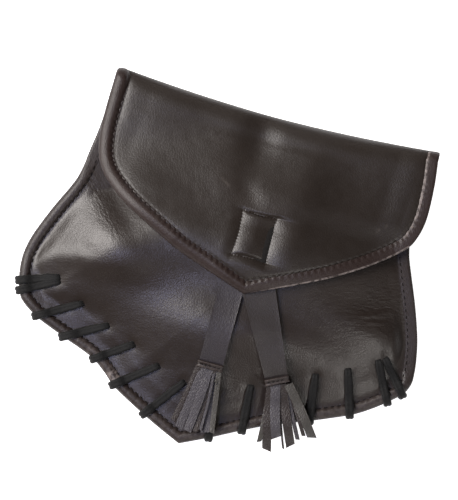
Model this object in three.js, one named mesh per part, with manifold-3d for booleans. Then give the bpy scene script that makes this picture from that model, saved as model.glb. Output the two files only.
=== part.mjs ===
// Leather belt bag with a pointed flap, bound edges, laced bottom and two tassels, lying on its back.
// Millimetres. X runs across the bag, Y from its pointed bottom to its folded top, Z out of its front.
// The surface that it lies on is at Z = 0.
import * as THREE from "three";
import { mergeVertices } from "three/addons/utils/BufferGeometryUtils.js";
import Module from "manifold-3d";

const { lerp, clamp, smoothstep, degToRad } = THREE.MathUtils;
const wasm = await Module();
wasm.setup();

// Driving dimensions
const TOP_Y = 93.8; // ends of the top fold
const TOP_DIP = 4.6; // the fold sags this much between its ends
const DIP_POWER = 1.8;
const TOP_MIDDLE = 4; // where it is lowest
const HALF_TOP = 88; // half the fold's length
const TOP_TUCK = { depth: 1.1, from: 4, to: 9 }; // its ends are squeezed in, by distance from the side
const FOLD_FOOT = 6; // the fold starts this far below its upper edge
const FOLD_ROW = 88; // row whose width the fold has
const FOLD_TURNS = [-90, -60, -30, 0, 30, 60, 90];
const MOUTH_Y = 78; // free upper edge of the front panel, under the flap
const TIP = { x: -2.6, y: -94.8 };
const FLAP_TIP = { x: 10.4, y: -7 };
const WALL = 1.4; // leather panels
const GAP = 0.3; // between pieces that touch
const BINDING_WIDTH = 6.5;
const BINDING_WALL = 1.0;
const BINDING_SLACK = 0.5; // between a binding and the panels in it
const SHEET_INSET = 2.2; // panel edges lie this far inside the binding's outer edge
const BODY_BINDING_TOP = MOUTH_Y + 1.5;
const FLAP_BINDING_FOOT = [80.6, 84]; // rows of the flap's binding on the back

// Heights
const LOOP_GAP = 5.0; // room for a belt between the loop and the back
const LOOP_WALL = 1.6;
const LIFT = LOOP_GAP + LOOP_WALL; // the belt loop props the upper back up by this much
const LIFT_FROM = -20;
const LIFT_TO = 28;
const SEAM_RISE = 3.1; // the back's edges curl up to the seam
const RISE_FROM = 16; // the curl, by distance from the edge
const RISE_TO = 44;
const FRONT_EDGE = SEAM_RISE + WALL + GAP + WALL; // outer face of the front panel at the seam
const SEAM_MID = (SEAM_RISE + FRONT_EDGE) / 2;
const BODY_BINDING_HALF = (FRONT_EDGE - SEAM_RISE) / 2 + BINDING_SLACK + BINDING_WALL; // half its height
const PUFF = 15; // how far the filled front stands above its seam
const PUFF_RUN = 68; // distance from the edge to the full height
const MOUTH_SHARE = 0.2; // share of the puff that is left at the mouth
const PUFF_FULL_Y = 8; // full puff from here down
const FILL_BLEND = 12; // rounds the filling where the sides meet the laced edge
const SLOT = 7.5; // width of the flat edge that the binding holds
const SHAPE_RUN = 7; // further in, folds and dimples come up to their full height
const LACE_BAND = 17; // width of the pinched band along the laced edge
const BAND_TO = LACE_BAND + 4; // inner end of the puffs between the stitches
const BAND_PUFF = 2.2;
const DIMPLE = 2.6; // depth and radius of the dimple at a lace hole
const DIMPLE_RADIUS = 7.0;
const CORNER_Y = -40; // below it the outline is laced
const CORNER_BLEND = 20;
const FLAP_CLEAR = 2.4; // between the front panel and the flap
const SIDE_CLEAR = { height: 2.6, from: 2, to: 22 }; // more where the flap's binding lies over the body's
const CLOSURE_CLEAR = { height: 4.8, y: 18, across: 24, along: 30 }; // more over the straps and the patch
const CLOSURE = { x: 7.8, y: 24.3, width: 19, height: 25, thickness: 1.2 };
const STITCH_WIDTH = 1.3; // groove of the stitched box over the closure
const STITCH_DEPTH = 0.7;

// Outer edges of the bindings: left and right of each section across the bag
const BODY_SECTIONS = [
  { y: 90, left: -86.8, right: 93.4 },
  { y: 78, left: -87, right: 92.6 },
  { y: 60, left: -88, right: 90.6 },
  { y: 46, left: -89.9, right: 89.8 },
  { y: 36, left: -91.2, right: 91.6 },
  { y: 28, left: -93.4, right: 94.6 },
  { y: 10, left: -101.8, right: 102 },
  { y: -6, left: -108.2, right: 107.6 },
  { y: -16, left: -110.4, right: 109.9 },
  { y: -24, left: -110.4, right: 111 },
  { y: -31, left: -109.2, right: 111 },
  { y: -37, left: -107.4, right: 108.4 },
  { y: -42, left: -104.2, right: 103.2 },
  { y: -48.6, left: -94, right: 95 },
  { y: -55, left: -78, right: 85 },
  { y: -61.6, left: -60.6, right: 70.2 },
  { y: -68, left: -51.4, right: 54 },
  { y: -74.5, left: -43.6, right: 38 },
  { y: -87.5, left: -18.8, right: 12.6 },
  { y: TIP.y, left: TIP.x, right: TIP.x },
];
const FLAP_SECTIONS = [
  { y: 90, left: -86.8, right: 93.4 },
  { y: 75, left: -87.2, right: 94.8 },
  { y: 62, left: -87.2, right: 95.4 },
  { y: 54, left: -86.4, right: 95 },
  { y: 46.5, left: -84.8, right: 93.2 },
  { y: 40, left: -82, right: 90 },
  { y: 32.4, left: -75.6, right: 82 },
  { y: 23.4, left: -63.4, right: 70 },
  { y: 13, left: -43.4, right: 53 },
  { y: 5.4, left: -26.6, right: 37.6 },
  { y: FLAP_TIP.y, left: FLAP_TIP.x, right: FLAP_TIP.x },
];

// Soft bulges and hollows of the front: centre, reach along and across its own direction, and height
const FRONT_FOLDS = [
  { x: -78, y: -6, along: 30, across: 17, turn: -15, height: 3.4 }, // left cheek
  { x: -72, y: 21, along: 22, across: 9, turn: -50, height: -2.6 }, // hollow beside the flap
  { x: -82, y: -22, along: 30, across: 9, turn: 8, height: -1.8 }, // hollow under the cheek
  { x: -36, y: -24, along: 36, across: 13, turn: 28, height: 2.6 }, // ridge towards the straps
  { x: -38, y: -2, along: 26, across: 11, turn: 20, height: -1.6 }, // hollow above that ridge
  { x: 74, y: -14, along: 26, across: 14, turn: 20, height: 2.4 }, // right cheek
  { x: 84, y: 14, along: 20, across: 10, turn: 55, height: -1.6 }, // hollow beside the flap
];
const FLAP_FOLDS = [
  { x: -2, y: 76, along: 36, across: 9, turn: 90, height: -2.0 }, // valley down the middle
  { x: -40, y: 48, along: 34, across: 24, turn: 0, height: 1.4 }, // left swell
  { x: 24, y: 58, along: 26, across: 14, turn: 90, height: 1.2 }, // right swell
  { x: 7.2, y: 25, along: 15, across: 13, turn: 0, height: -1.0 }, // pulled in at the closure
];

// Lacing, from right to left: the hole where a strand comes out, and where it turns round the edge
const LACE_WIDTH = 3.8;
const LACE_THICKNESS = 1.2;
const LACE_REACH = 3.4; // the lace stays clear of all surfaces within this distance
const LACE_SLOT = 3 * GAP; // a hole is this much larger than the lace
const LACE_STITCHES = [
  { holeX: 94, holeY: -21.8, edgeX: 108.4, edgeY: -38.6 },
  { holeX: 90.4, holeY: -24, edgeX: 101.4, edgeY: -45 },
  { holeX: 75.7, holeY: -32.7, edgeX: 83.2, edgeY: -56.6 },
  { holeX: 59.4, holeY: -39.9, edgeX: 62.9, edgeY: -64.8 },
  { holeX: 43.3, holeY: -47.8, edgeX: 45.6, edgeY: -72.4 },
  { holeX: 27.1, holeY: -54.9, edgeX: 29, edgeY: -79.2 },
  { holeX: 9.6, holeY: -62, edgeX: 12.6, edgeY: -88 },
  { holeX: -8.6, holeY: -62, edgeX: -25.6, edgeY: -84.6 },
  { holeX: -24.5, holeY: -57, edgeX: -45.6, edgeY: -73.6 },
  { holeX: -40.5, holeY: -49.2, edgeX: -59.4, edgeY: -62.6 },
  { holeX: -56.5, holeY: -43, edgeX: -78.4, edgeY: -55.2 },
  { holeX: -73, holeY: -35.1, edgeX: -95.6, edgeY: -48.2 },
  { holeX: -87.6, holeY: -27.6, edgeX: -107.6, edgeY: -37 },
  { holeX: -90, holeY: -23.2, edgeX: -109.4, edgeY: -31.4 },
];

// Straps and tassels
const STRAP_WALL = 1.0;
const STRAP_CLEAR = 0.7; // between a strap and the front panel
const STRAP_CROSSING = { from: -16, to: -4 }; // above it one strap lies on the other
const STRAP_END_RUN = 22; // a strap's end rises to its tassel over this distance
const STRAPS = [
  {
    name: "left",
    top: { x: 3.3, y: 28, width: 13.4 },
    end: { x: 3.1, y: -48.4, width: 13.2, rise: 0.4 },
    level: 0,
    fan: 0.9,
  },
  {
    name: "right",
    top: { x: 2.2, y: 28, width: 22 },
    end: { x: 39.5, y: -47, width: 12.2, rise: 3.4 },
    level: 1,
    fan: 1,
  },
];
const TASSEL_HEAD = { width: 15, thickness: 4.2, clear: 0.4, sides: 12 };
const HEAD_RINGS = [
  { along: GAP, swell: 0.86 },
  { along: 1.6, swell: 1 },
  { along: 4.2, swell: 1 },
  { along: 5.5, swell: 0.9 },
];
const TASSEL_STRIPS = [
  { shift: -5.2, lean: -13, length: 34, width: 3.4, layer: 0 },
  { shift: -2.8, lean: -7, length: 36, width: 4.2, layer: 1 },
  { shift: 0.2, lean: -1, length: 37, width: 4.2, layer: 0 },
  { shift: 2.8, lean: 5, length: 35, width: 4.2, layer: 1 },
  { shift: 5.2, lean: 12, length: 33, width: 3.6, layer: 0 },
];
const STRIP_WALL = 0.9;
const STRIP_LAYER = STRIP_WALL + 0.2; // from one layer of strips to the next
const FRINGE_OVER = 3.9; // above the panel, so that the strips pass over the lace
const FRINGE_ROOT = { from: 3, to: 14 }; // the strips leave the head and come down on the panel
const FRINGE_END = 2.2; // height of the strips' ends beyond the bag's edge
const FRINGE_DROP = 16; // they come down to it over this distance

// Belt loop on the back
const LOOP_WIDTH = 60;
const LOOP = { top: 84, bottom: 13, land: 6, ramp: 8 };

// Interpolation and distance

/** Cubic through a table's rows, the slope at each row taken from its neighbours. */
function sectionValue(rows, key, y) {
  const last = rows.length - 1;
  const found = rows.findIndex((row) => row.y <= y);
  const i = clamp(found < 0 ? last : found, 1, last);
  const slope = (k) => {
    const before = rows[Math.max(k - 1, 0)];
    const after = rows[Math.min(k + 1, last)];
    return (after[key] - before[key]) / (after.y - before.y);
  };
  const [a, b] = [rows[i - 1], rows[i]];
  const span = b.y - a.y;
  const t = clamp((y - a.y) / span, 0, 1);
  const [t2, t3] = [t * t, t * t * t];
  return (
    (2 * t3 - 3 * t2 + 1) * a[key] +
    (t3 - 2 * t2 + t) * span * slope(i - 1) +
    (3 * t2 - 2 * t3) * b[key] +
    (t3 - t2) * span * slope(i)
  );
}

/** One side of an outline from its top row down to its tip, a point for each millimetre of height. */
function outlineSide(rows, side) {
  const topY = rows[0].y;
  const tipY = rows[rows.length - 1].y;
  const steps = Math.round(topY - tipY);
  return Array.from({ length: steps + 1 }, (_, i) => {
    const y = lerp(topY, tipY, i / steps);
    return new THREE.Vector2(sectionValue(rows, side, y), y);
  });
}

/** The same line with its points about `spacing(point)` apart. */
function respaced(points, spacing) {
  const counts = [0];
  for (let i = 1; i < points.length; i++) {
    counts.push(counts[i - 1] + points[i].distanceTo(points[i - 1]) / spacing(points[i]));
  }
  const total = counts[counts.length - 1];
  const steps = Math.max(1, Math.round(total));
  let k = 0;
  return Array.from({ length: steps + 1 }, (_, i) => {
    const want = (total * i) / steps;
    while (k < points.length - 2 && counts[k + 1] < want) k++;
    const t = (want - counts[k]) / (counts[k + 1] - counts[k]);
    return points[k].clone().lerp(points[k + 1], t);
  });
}

/** Inward direction at each point of a line that runs anticlockwise, lengthened at corners to a mitre. */
function inwardMitres(points) {
  const normals = points.slice(1).map((p, i) => {
    const t = p.clone().sub(points[i]).normalize();
    return new THREE.Vector2(-t.y, t.x);
  });
  return points.map((_, i) => {
    const a = normals[Math.max(i - 1, 0)];
    const b = normals[Math.min(i, normals.length - 1)];
    const sum = a.clone().add(b).normalize();
    return sum.divideScalar(sum.dot(b));
  });
}

function insetLine(points, inset) {
  const mitres = inwardMitres(points);
  return points.map((p, i) => p.clone().addScaledVector(mitres[i], inset));
}

function distanceToLine(points, x, y) {
  let best = Infinity;
  for (let i = 1; i < points.length; i++) {
    const [a, b] = [points[i - 1], points[i]];
    const [dx, dy] = [b.x - a.x, b.y - a.y];
    const t = clamp(((x - a.x) * dx + (y - a.y) * dy) / (dx * dx + dy * dy), 0, 1);
    best = Math.min(best, Math.hypot(x - a.x - t * dx, y - a.y - t * dy));
  }
  return best;
}

function smoothMin(a, b, blend) {
  const h = clamp(0.5 + (b - a) / (2 * blend), 0, 1);
  return lerp(b, a, h) - blend * h * (1 - h);
}

/** Sum of a table's soft bulges at a point. */
function foldHeight(folds, x, y) {
  return folds.reduce((sum, fold) => {
    const turn = degToRad(fold.turn);
    const [dx, dy] = [x - fold.x, y - fold.y];
    const along = (dx * Math.cos(turn) + dy * Math.sin(turn)) / fold.along;
    const across = (dy * Math.cos(turn) - dx * Math.sin(turn)) / fold.across;
    return sum + fold.height * Math.exp(-along * along - across * across);
  }, 0);
}

// Outlines of the body and the flap, anticlockwise from the upper left over the tip to the upper right

const bodyLeft = outlineSide(BODY_SECTIONS, "left");
const bodyRight = outlineSide(BODY_SECTIONS, "right");
const flapLeft = outlineSide(FLAP_SECTIONS, "left");
const flapRight = outlineSide(FLAP_SECTIONS, "right");
const sideLines = [bodyLeft, bodyRight].map((line) => line.filter((p) => p.y >= CORNER_Y));
const bottomLine = [...bodyLeft, ...bodyRight.slice(0, -1).reverse()].filter((p) => p.y <= CORNER_Y);

/** Left line down to the tip and right line up again, cut off at a height, closer spaced along the lacing. */
function wholeOutline(left, right, topY, sideSpacing, bottomSpacing = sideSpacing) {
  const spacing = (p) => lerp(bottomSpacing, sideSpacing, smoothstep(p.y, CORNER_Y, CORNER_Y + CORNER_BLEND));
  const below = (line) => respaced(line.filter((p) => p.y <= topY), spacing);
  return [...below(left), ...below(right).reverse().slice(1)];
}

const sideDistance = (x, y) => Math.min(...sideLines.map((line) => distanceToLine(line, x, y)));
const bottomDistance = (x, y) => distanceToLine(bottomLine, x, y);

// Heights of the surfaces

const lift = (y) => LIFT * smoothstep(y, LIFT_FROM, LIFT_TO);

/** Under face of the back panel. */
function backHeight(x, y) {
  const inset = Math.min(sideDistance(x, y), bottomDistance(x, y));
  return lift(y) + SEAM_RISE * (1 - smoothstep(inset, RISE_FROM, RISE_TO));
}

/** How far in from the flat edges a point lies, for the filling of the bag. */
function fillDistance(x, y) {
  return Math.max(0, smoothMin(sideDistance(x, y) - SLOT, bottomDistance(x, y) - LACE_BAND, FILL_BLEND));
}

function basePuff(x, y) {
  const share = 1 - clamp(fillDistance(x, y) / PUFF_RUN, 0, 1);
  return PUFF * (1 - share * share) * lerp(1, MOUTH_SHARE, smoothstep(y, PUFF_FULL_Y, MOUTH_Y));
}

/** Outer face of the front panel. */
function frontHeight(x, y) {
  const edge = bottomDistance(x, y);
  const inner = Math.min(sideDistance(x, y), edge);
  const band = clamp((edge - SLOT) / (BAND_TO - SLOT), 0, 1);
  const dimples = LACE_STITCHES.reduce((sum, stitch) => {
    const r = Math.hypot(x - stitch.holeX, y - stitch.holeY) / DIMPLE_RADIUS;
    return Math.max(sum, DIMPLE * Math.exp(-r * r));
  }, 0);
  const shaped = foldHeight(FRONT_FOLDS, x, y) + BAND_PUFF * Math.sin(Math.PI * band) - dimples;
  const height = lift(y) + FRONT_EDGE + basePuff(x, y) + shaped * smoothstep(inner, SLOT, SLOT + SHAPE_RUN);
  return Math.max(height, backHeight(x, y) + 2 * WALL + GAP);
}

/** Outer face of the flap. */
function flapHeight(x, y) {
  const cx = (x - CLOSURE.x) / CLOSURE_CLEAR.across;
  const cy = (y - CLOSURE_CLEAR.y) / CLOSURE_CLEAR.along;
  const clear =
    FLAP_CLEAR +
    SIDE_CLEAR.height * (1 - smoothstep(sideDistance(x, y), SIDE_CLEAR.from, SIDE_CLEAR.to)) +
    CLOSURE_CLEAR.height * Math.exp(-cx * cx - cy * cy);
  return lift(y) + FRONT_EDGE + basePuff(x, y) + clear + foldHeight(FLAP_FOLDS, x, y) + WALL;
}

/** The fold over the top: its middle line and outer radius at a place across the bag. */
function topFold(x) {
  const aside = Math.abs(x - TOP_MIDDLE) / HALF_TOP;
  const tuck = TOP_TUCK.depth * (1 - smoothstep(sideDistance(x, MOUTH_Y), TOP_TUCK.from, TOP_TUCK.to));
  const reach = TOP_Y - TOP_DIP * (1 - aside ** DIP_POWER) - tuck;
  const [low, high] = [backHeight(x, reach - FOLD_FOOT), flapHeight(x, reach - FOLD_FOOT)];
  const radius = (high - low) / 2;
  return { y: reach - radius, z: (low + high) / 2, radius };
}

// Solids

const SQUARE = [[-1, -1], [1, -1], [1, 1], [-1, 1]].map(([x, y]) => new THREE.Vector2(x, y));

/** A mesh geometry from points and triangles, turned face out. */
function closedGeometry(points, triangles) {
  const volume = triangles.reduce((sum, [a, b, c]) => {
    return sum + points[a].dot(points[b].clone().cross(points[c]));
  }, 0);
  const facing = volume < 0 ? triangles.map(([a, b, c]) => [a, c, b]) : triangles;
  const geometry = new THREE.BufferGeometry();
  geometry.setAttribute("position", new THREE.Float32BufferAttribute(points.flatMap((p) => p.toArray()), 3));
  geometry.setIndex(facing.flat());
  geometry.computeVertexNormals();
  return geometry;
}

/** A wall between two grids of points with the same rows and columns. */
function wallBetween(outer, inner) {
  const [rows, columns] = [outer.length, outer[0].length];
  const points = [...outer.flat(), ...inner.flat()];
  const at = (side, r, c) => side * rows * columns + r * columns + c;
  const triangles = [];
  const quad = (a, b, c, d) => triangles.push([a, b, c], [a, c, d]);
  for (let r = 0; r + 1 < rows; r++)
    for (let c = 0; c + 1 < columns; c++) {
      quad(at(0, r, c), at(0, r, c + 1), at(0, r + 1, c + 1), at(0, r + 1, c));
      quad(at(1, r + 1, c), at(1, r + 1, c + 1), at(1, r, c + 1), at(1, r, c));
    }
  for (let c = 0; c + 1 < columns; c++) {
    quad(at(1, 0, c), at(1, 0, c + 1), at(0, 0, c + 1), at(0, 0, c));
    quad(at(0, rows - 1, c), at(0, rows - 1, c + 1), at(1, rows - 1, c + 1), at(1, rows - 1, c));
  }
  for (let r = 0; r + 1 < rows; r++) {
    quad(at(0, r, 0), at(0, r + 1, 0), at(1, r + 1, 0), at(1, r, 0));
    quad(at(1, r, columns - 1), at(1, r + 1, columns - 1), at(0, r + 1, columns - 1), at(0, r, columns - 1));
  }
  return closedGeometry(points, triangles);
}

/** A solid through rings of points, closed by flat ends. `section` is a ring's outline in two dimensions. */
function loft(rings, section) {
  const count = section.length;
  const triangles = [];
  for (let r = 0; r + 1 < rings.length; r++)
    for (let i = 0; i < count; i++) {
      const [a, b] = [r * count + i, r * count + ((i + 1) % count)];
      triangles.push([a, b, b + count], [a, b + count, a + count]);
    }
  const last = (rings.length - 1) * count;
  for (const [a, b, c] of THREE.ShapeUtils.triangulateShape(section, [])) {
    triangles.push([c, b, a], [last + a, last + b, last + c]);
  }
  return closedGeometry(rings.flat(), triangles);
}

function toSolid(geometry) {
  const bare = geometry.index ? geometry.toNonIndexed() : geometry.clone();
  for (const name of ["normal", "uv"]) bare.deleteAttribute(name);
  const merged = mergeVertices(bare, 1e-4);
  return new wasm.Manifold(
    new wasm.Mesh({
      numProp: 3,
      vertProperties: merged.attributes.position.array,
      triVerts: new Uint32Array(merged.index.array),
    }),
  );
}

function fromSolid(solid) {
  const mesh = solid.getMesh();
  const geometry = new THREE.BufferGeometry();
  geometry.setAttribute("position", new THREE.BufferAttribute(mesh.vertProperties, 3));
  geometry.setIndex(new THREE.BufferAttribute(mesh.triVerts, 1));
  geometry.computeVertexNormals();
  return geometry;
}

/** Slots through which the lace passes, one at each hole. */
function withLaceHoles(geometry, stitches) {
  const cut = stitches.reduce((solid, stitch) => {
    const slot = new THREE.BoxGeometry(LACE_WIDTH + LACE_SLOT, LACE_THICKNESS + LACE_SLOT, 4 * PUFF);
    slot.rotateZ(Math.atan2(stitch.edgeX - stitch.holeX, stitch.holeY - stitch.edgeY));
    slot.translate(stitch.holeX, stitch.holeY, 0);
    return solid.subtract(toSolid(slot));
  }, toSolid(geometry));
  return fromSolid(cut);
}

// Panels

/** Back panel, top fold and flap: one sheet of leather, from the bottom tip round to the flap's tip. */
function backAndFlap() {
  const shares = [0, 0.032, 0.085, 0.17, 0.28, 0.39, 0.5, 0.61, 0.72, 0.83, 0.915, 0.968, 1];
  const backRows = [-91, -86, -80, -72, -64, -56, -49, -43, -37, -29, -20, -13, -6, 1, 8, 14, 20, 28, 46, 66];
  const flapRows = [76, 66, 56, 47, 40, 34, 27, 20, 13, 7, 2, -1.8];
  const backEdges = [bodyLeft, bodyRight].map((line, i) => insetLine(line, i ? -SHEET_INSET : SHEET_INSET));
  const flapEdges = [flapLeft, flapRight].map((line, i) => insetLine(line, i ? -SHEET_INSET : SHEET_INSET));
  const across = (edges, y) => {
    const [left, right] = edges.map((line) => lineAt(line, y));
    return shares.map((share) => lerp(left, right, share));
  };
  const outer = [];
  const inner = [];
  const addRow = (xs, outside, inside) => {
    outer.push(xs.map(outside));
    inner.push(xs.map(inside));
  };
  for (const y of backRows) {
    addRow(
      across(backEdges, y),
      (x) => new THREE.Vector3(x, y, backHeight(x, y)),
      (x) => new THREE.Vector3(x, y, backHeight(x, y) + WALL),
    );
  }
  for (const turn of FOLD_TURNS) {
    const [cos, sin] = [Math.cos(degToRad(turn)), Math.sin(degToRad(turn))];
    const around = (x, inset) => {
      const fold = topFold(x);
      const r = fold.radius - inset;
      return new THREE.Vector3(x, fold.y + r * cos, fold.z + r * sin);
    };
    addRow(across(backEdges, FOLD_ROW), (x) => around(x, 0), (x) => around(x, WALL));
  }
  for (const y of flapRows) {
    addRow(
      across(flapEdges, y),
      (x) => new THREE.Vector3(x, y, flapHeight(x, y)),
      (x) => new THREE.Vector3(x, y, flapHeight(x, y) - WALL),
    );
  }
  const sheet = withLaceHoles(wallBetween(outer, inner), LACE_STITCHES.slice(1));
  return fromSolid(toSolid(sheet).subtract(toSolid(stitchedBox())));
}

/** Where a line that runs downwards crosses a height. */
function lineAt(line, y) {
  const i = clamp(line.findIndex((p) => p.y <= y), 1, line.length - 1);
  const [a, b] = [line[i - 1], line[i]];
  return lerp(a.x, b.x, clamp((y - a.y) / (b.y - a.y), 0, 1));
}

/** Groove of the box stitched over the closure, as a frame to cut from the flap. */
function stitchedBox() {
  const rectangle = (width, height) =>
    SQUARE.map((corner) => new THREE.Vector2((corner.x * width) / 2, (corner.y * height) / 2));
  const frame = new THREE.Shape(rectangle(CLOSURE.width + STITCH_WIDTH, CLOSURE.height + STITCH_WIDTH));
  frame.holes.push(new THREE.Path(rectangle(CLOSURE.width - STITCH_WIDTH, CLOSURE.height - STITCH_WIDTH)));
  const geometry = new THREE.ExtrudeGeometry(frame, { depth: 4 * WALL, bevelEnabled: false });
  const reach = CLOSURE.height / 2;
  const [low, high] = [-reach, reach].map((dy) => flapHeight(CLOSURE.x, CLOSURE.y + dy));
  geometry.rotateX(Math.atan((high - low) / (2 * reach)));
  return geometry.translate(CLOSURE.x, CLOSURE.y, (low + high) / 2 - STITCH_DEPTH);
}

/** Front panel: a filled wall in rings from its edge to its middle, pinched at the lacing. */
function frontPanel() {
  const centre = new THREE.Vector2(0, -12);
  const shares = [0, 0.06, 0.12, 0.18, 0.24, 0.3, 0.38, 0.52, 0.74];
  const edge = insetLine(wholeOutline(bodyLeft, bodyRight, MOUTH_Y, 12, 5.6), SHEET_INSET);
  const [leftEnd, rightEnd] = [edge[0], edge[edge.length - 1]];
  const mouth = respaced([rightEnd, leftEnd], () => 18).slice(1, -1);
  const boundary = [...edge, ...mouth];
  const count = boundary.length;
  const place = (p, under) => new THREE.Vector3(p.x, p.y, frontHeight(p.x, p.y) - under);
  const points = [];
  for (const under of [0, WALL]) {
    for (const share of shares) {
      for (const p of boundary) points.push(place(p.clone().lerp(centre, share), under));
    }
    points.push(place(centre, under));
  }
  const half = points.length / 2;
  const triangles = [];
  for (let i = 0; i < count; i++) {
    const j = (i + 1) % count;
    for (let ring = 0; ring + 1 < shares.length; ring++) {
      const [a, b] = [ring * count + i, ring * count + j];
      const [c, d] = [b + count, a + count];
      triangles.push([a, b, c], [a, c, d]);
      triangles.push([half + c, half + b, half + a], [half + d, half + c, half + a]);
    }
    const last = (shares.length - 1) * count;
    triangles.push([last + i, last + j, half - 1], [half + half - 1, half + last + j, half + last + i]);
    triangles.push([i, half + i, half + j], [i, half + j, j]);
  }
  return withLaceHoles(closedGeometry(points, triangles), LACE_STITCHES);
}

// Bindings: a strip folded round an edge, open towards the panel

/** Section of a folded strip, for a slot of this height. */
function bindingSection(slotHeight) {
  const slot = slotHeight / 2;
  const out = slot + BINDING_WALL;
  const lip = slot + 0.35 * BINDING_WALL;
  const nose = 0.45 * out;
  const bevel = 1.6;
  return [
    [BINDING_WIDTH, slot],
    [BINDING_WIDTH, lip],
    [BINDING_WIDTH - bevel, out],
    [bevel, out],
    [0, nose],
    [0, -nose],
    [bevel, -out],
    [BINDING_WIDTH - bevel, -out],
    [BINDING_WIDTH, -lip],
    [BINDING_WIDTH, -slot],
    [BINDING_WALL, -slot],
    [BINDING_WALL, slot],
  ].map(([inset, height]) => new THREE.Vector2(inset, height));
}

/** Lofts a binding along stations that give its outer edge and the place one width further in. */
function binding(stations, slotHeight) {
  const section = bindingSection(slotHeight);
  const rings = stations.map(({ edge, inner }, i) => {
    const before = stations[Math.max(i - 1, 0)].edge;
    const after = stations[Math.min(i + 1, stations.length - 1)].edge;
    const along = after.clone().sub(before).normalize();
    const inward = inner.clone().sub(edge);
    const normal = along.clone().cross(inward).normalize();
    return section.map((s) =>
      edge.clone().addScaledVector(inward, s.x / BINDING_WIDTH).addScaledVector(normal, s.y),
    );
  });
  return loft(rings, section);
}

function bodyBinding() {
  const line = wholeOutline(bodyLeft, bodyRight, BODY_BINDING_TOP, 9, 8);
  const inner = insetLine(line, BINDING_WIDTH);
  const inSeam = (p) => new THREE.Vector3(p.x, p.y, lift(p.y) + SEAM_MID);
  const stations = line.map((p, i) => ({ edge: inSeam(p), inner: inSeam(inner[i]) }));
  return binding(stations, 2 * (BODY_BINDING_HALF - BINDING_WALL));
}

/** From the back's left edge over the fold, round the flap and over the fold to the back's right edge. */
function flapBinding() {
  const line = wholeOutline(flapLeft, flapRight, MOUTH_Y, 8.5);
  const insides = insetLine(line, BINDING_WIDTH);
  const onFlap = (p) => new THREE.Vector3(p.x, p.y, flapHeight(p.x, p.y) - WALL / 2);
  const onBack = (x, y) => new THREE.Vector3(x, y, backHeight(x, y) + WALL / 2);
  const round = (x, turn) => {
    const fold = topFold(x);
    const r = fold.radius - WALL / 2;
    return new THREE.Vector3(x, fold.y + r * Math.cos(turn), fold.z + r * Math.sin(turn));
  };
  const overTop = (side, inward) => {
    const x = (y) => sectionValue(BODY_SECTIONS, side, y);
    const foot = FLAP_BINDING_FOOT.map((y) => ({ edge: onBack(x(y), y), inner: onBack(x(y) + inward, y) }));
    const end = x(FOLD_ROW);
    const turns = FOLD_TURNS.map(degToRad);
    const bend = turns.map((turn) => ({ edge: round(end, turn), inner: round(end + inward, turn) }));
    return [...foot, ...bend];
  };
  const front = line.map((p, i) => ({ edge: onFlap(p), inner: onFlap(insides[i]) }));
  const stations = [
    ...overTop("left", BINDING_WIDTH),
    ...front,
    ...overTop("right", -BINDING_WIDTH).reverse(),
  ];
  return binding(stations, WALL + 2 * GAP);
}

// Lacing

/** Nearest point of the body's outline, and the way in from it. */
function outlineFoot(x, y) {
  const line = wholeOutline(bodyLeft, bodyRight, MOUTH_Y, 2);
  const mitres = inwardMitres(line);
  const at = new THREE.Vector2(x, y);
  const i = line.reduce((best, p, k) => (p.distanceTo(at) < line[best].distanceTo(at) ? k : best), 0);
  return { point: line[i], inward: mitres[i].clone().normalize() };
}

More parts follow.
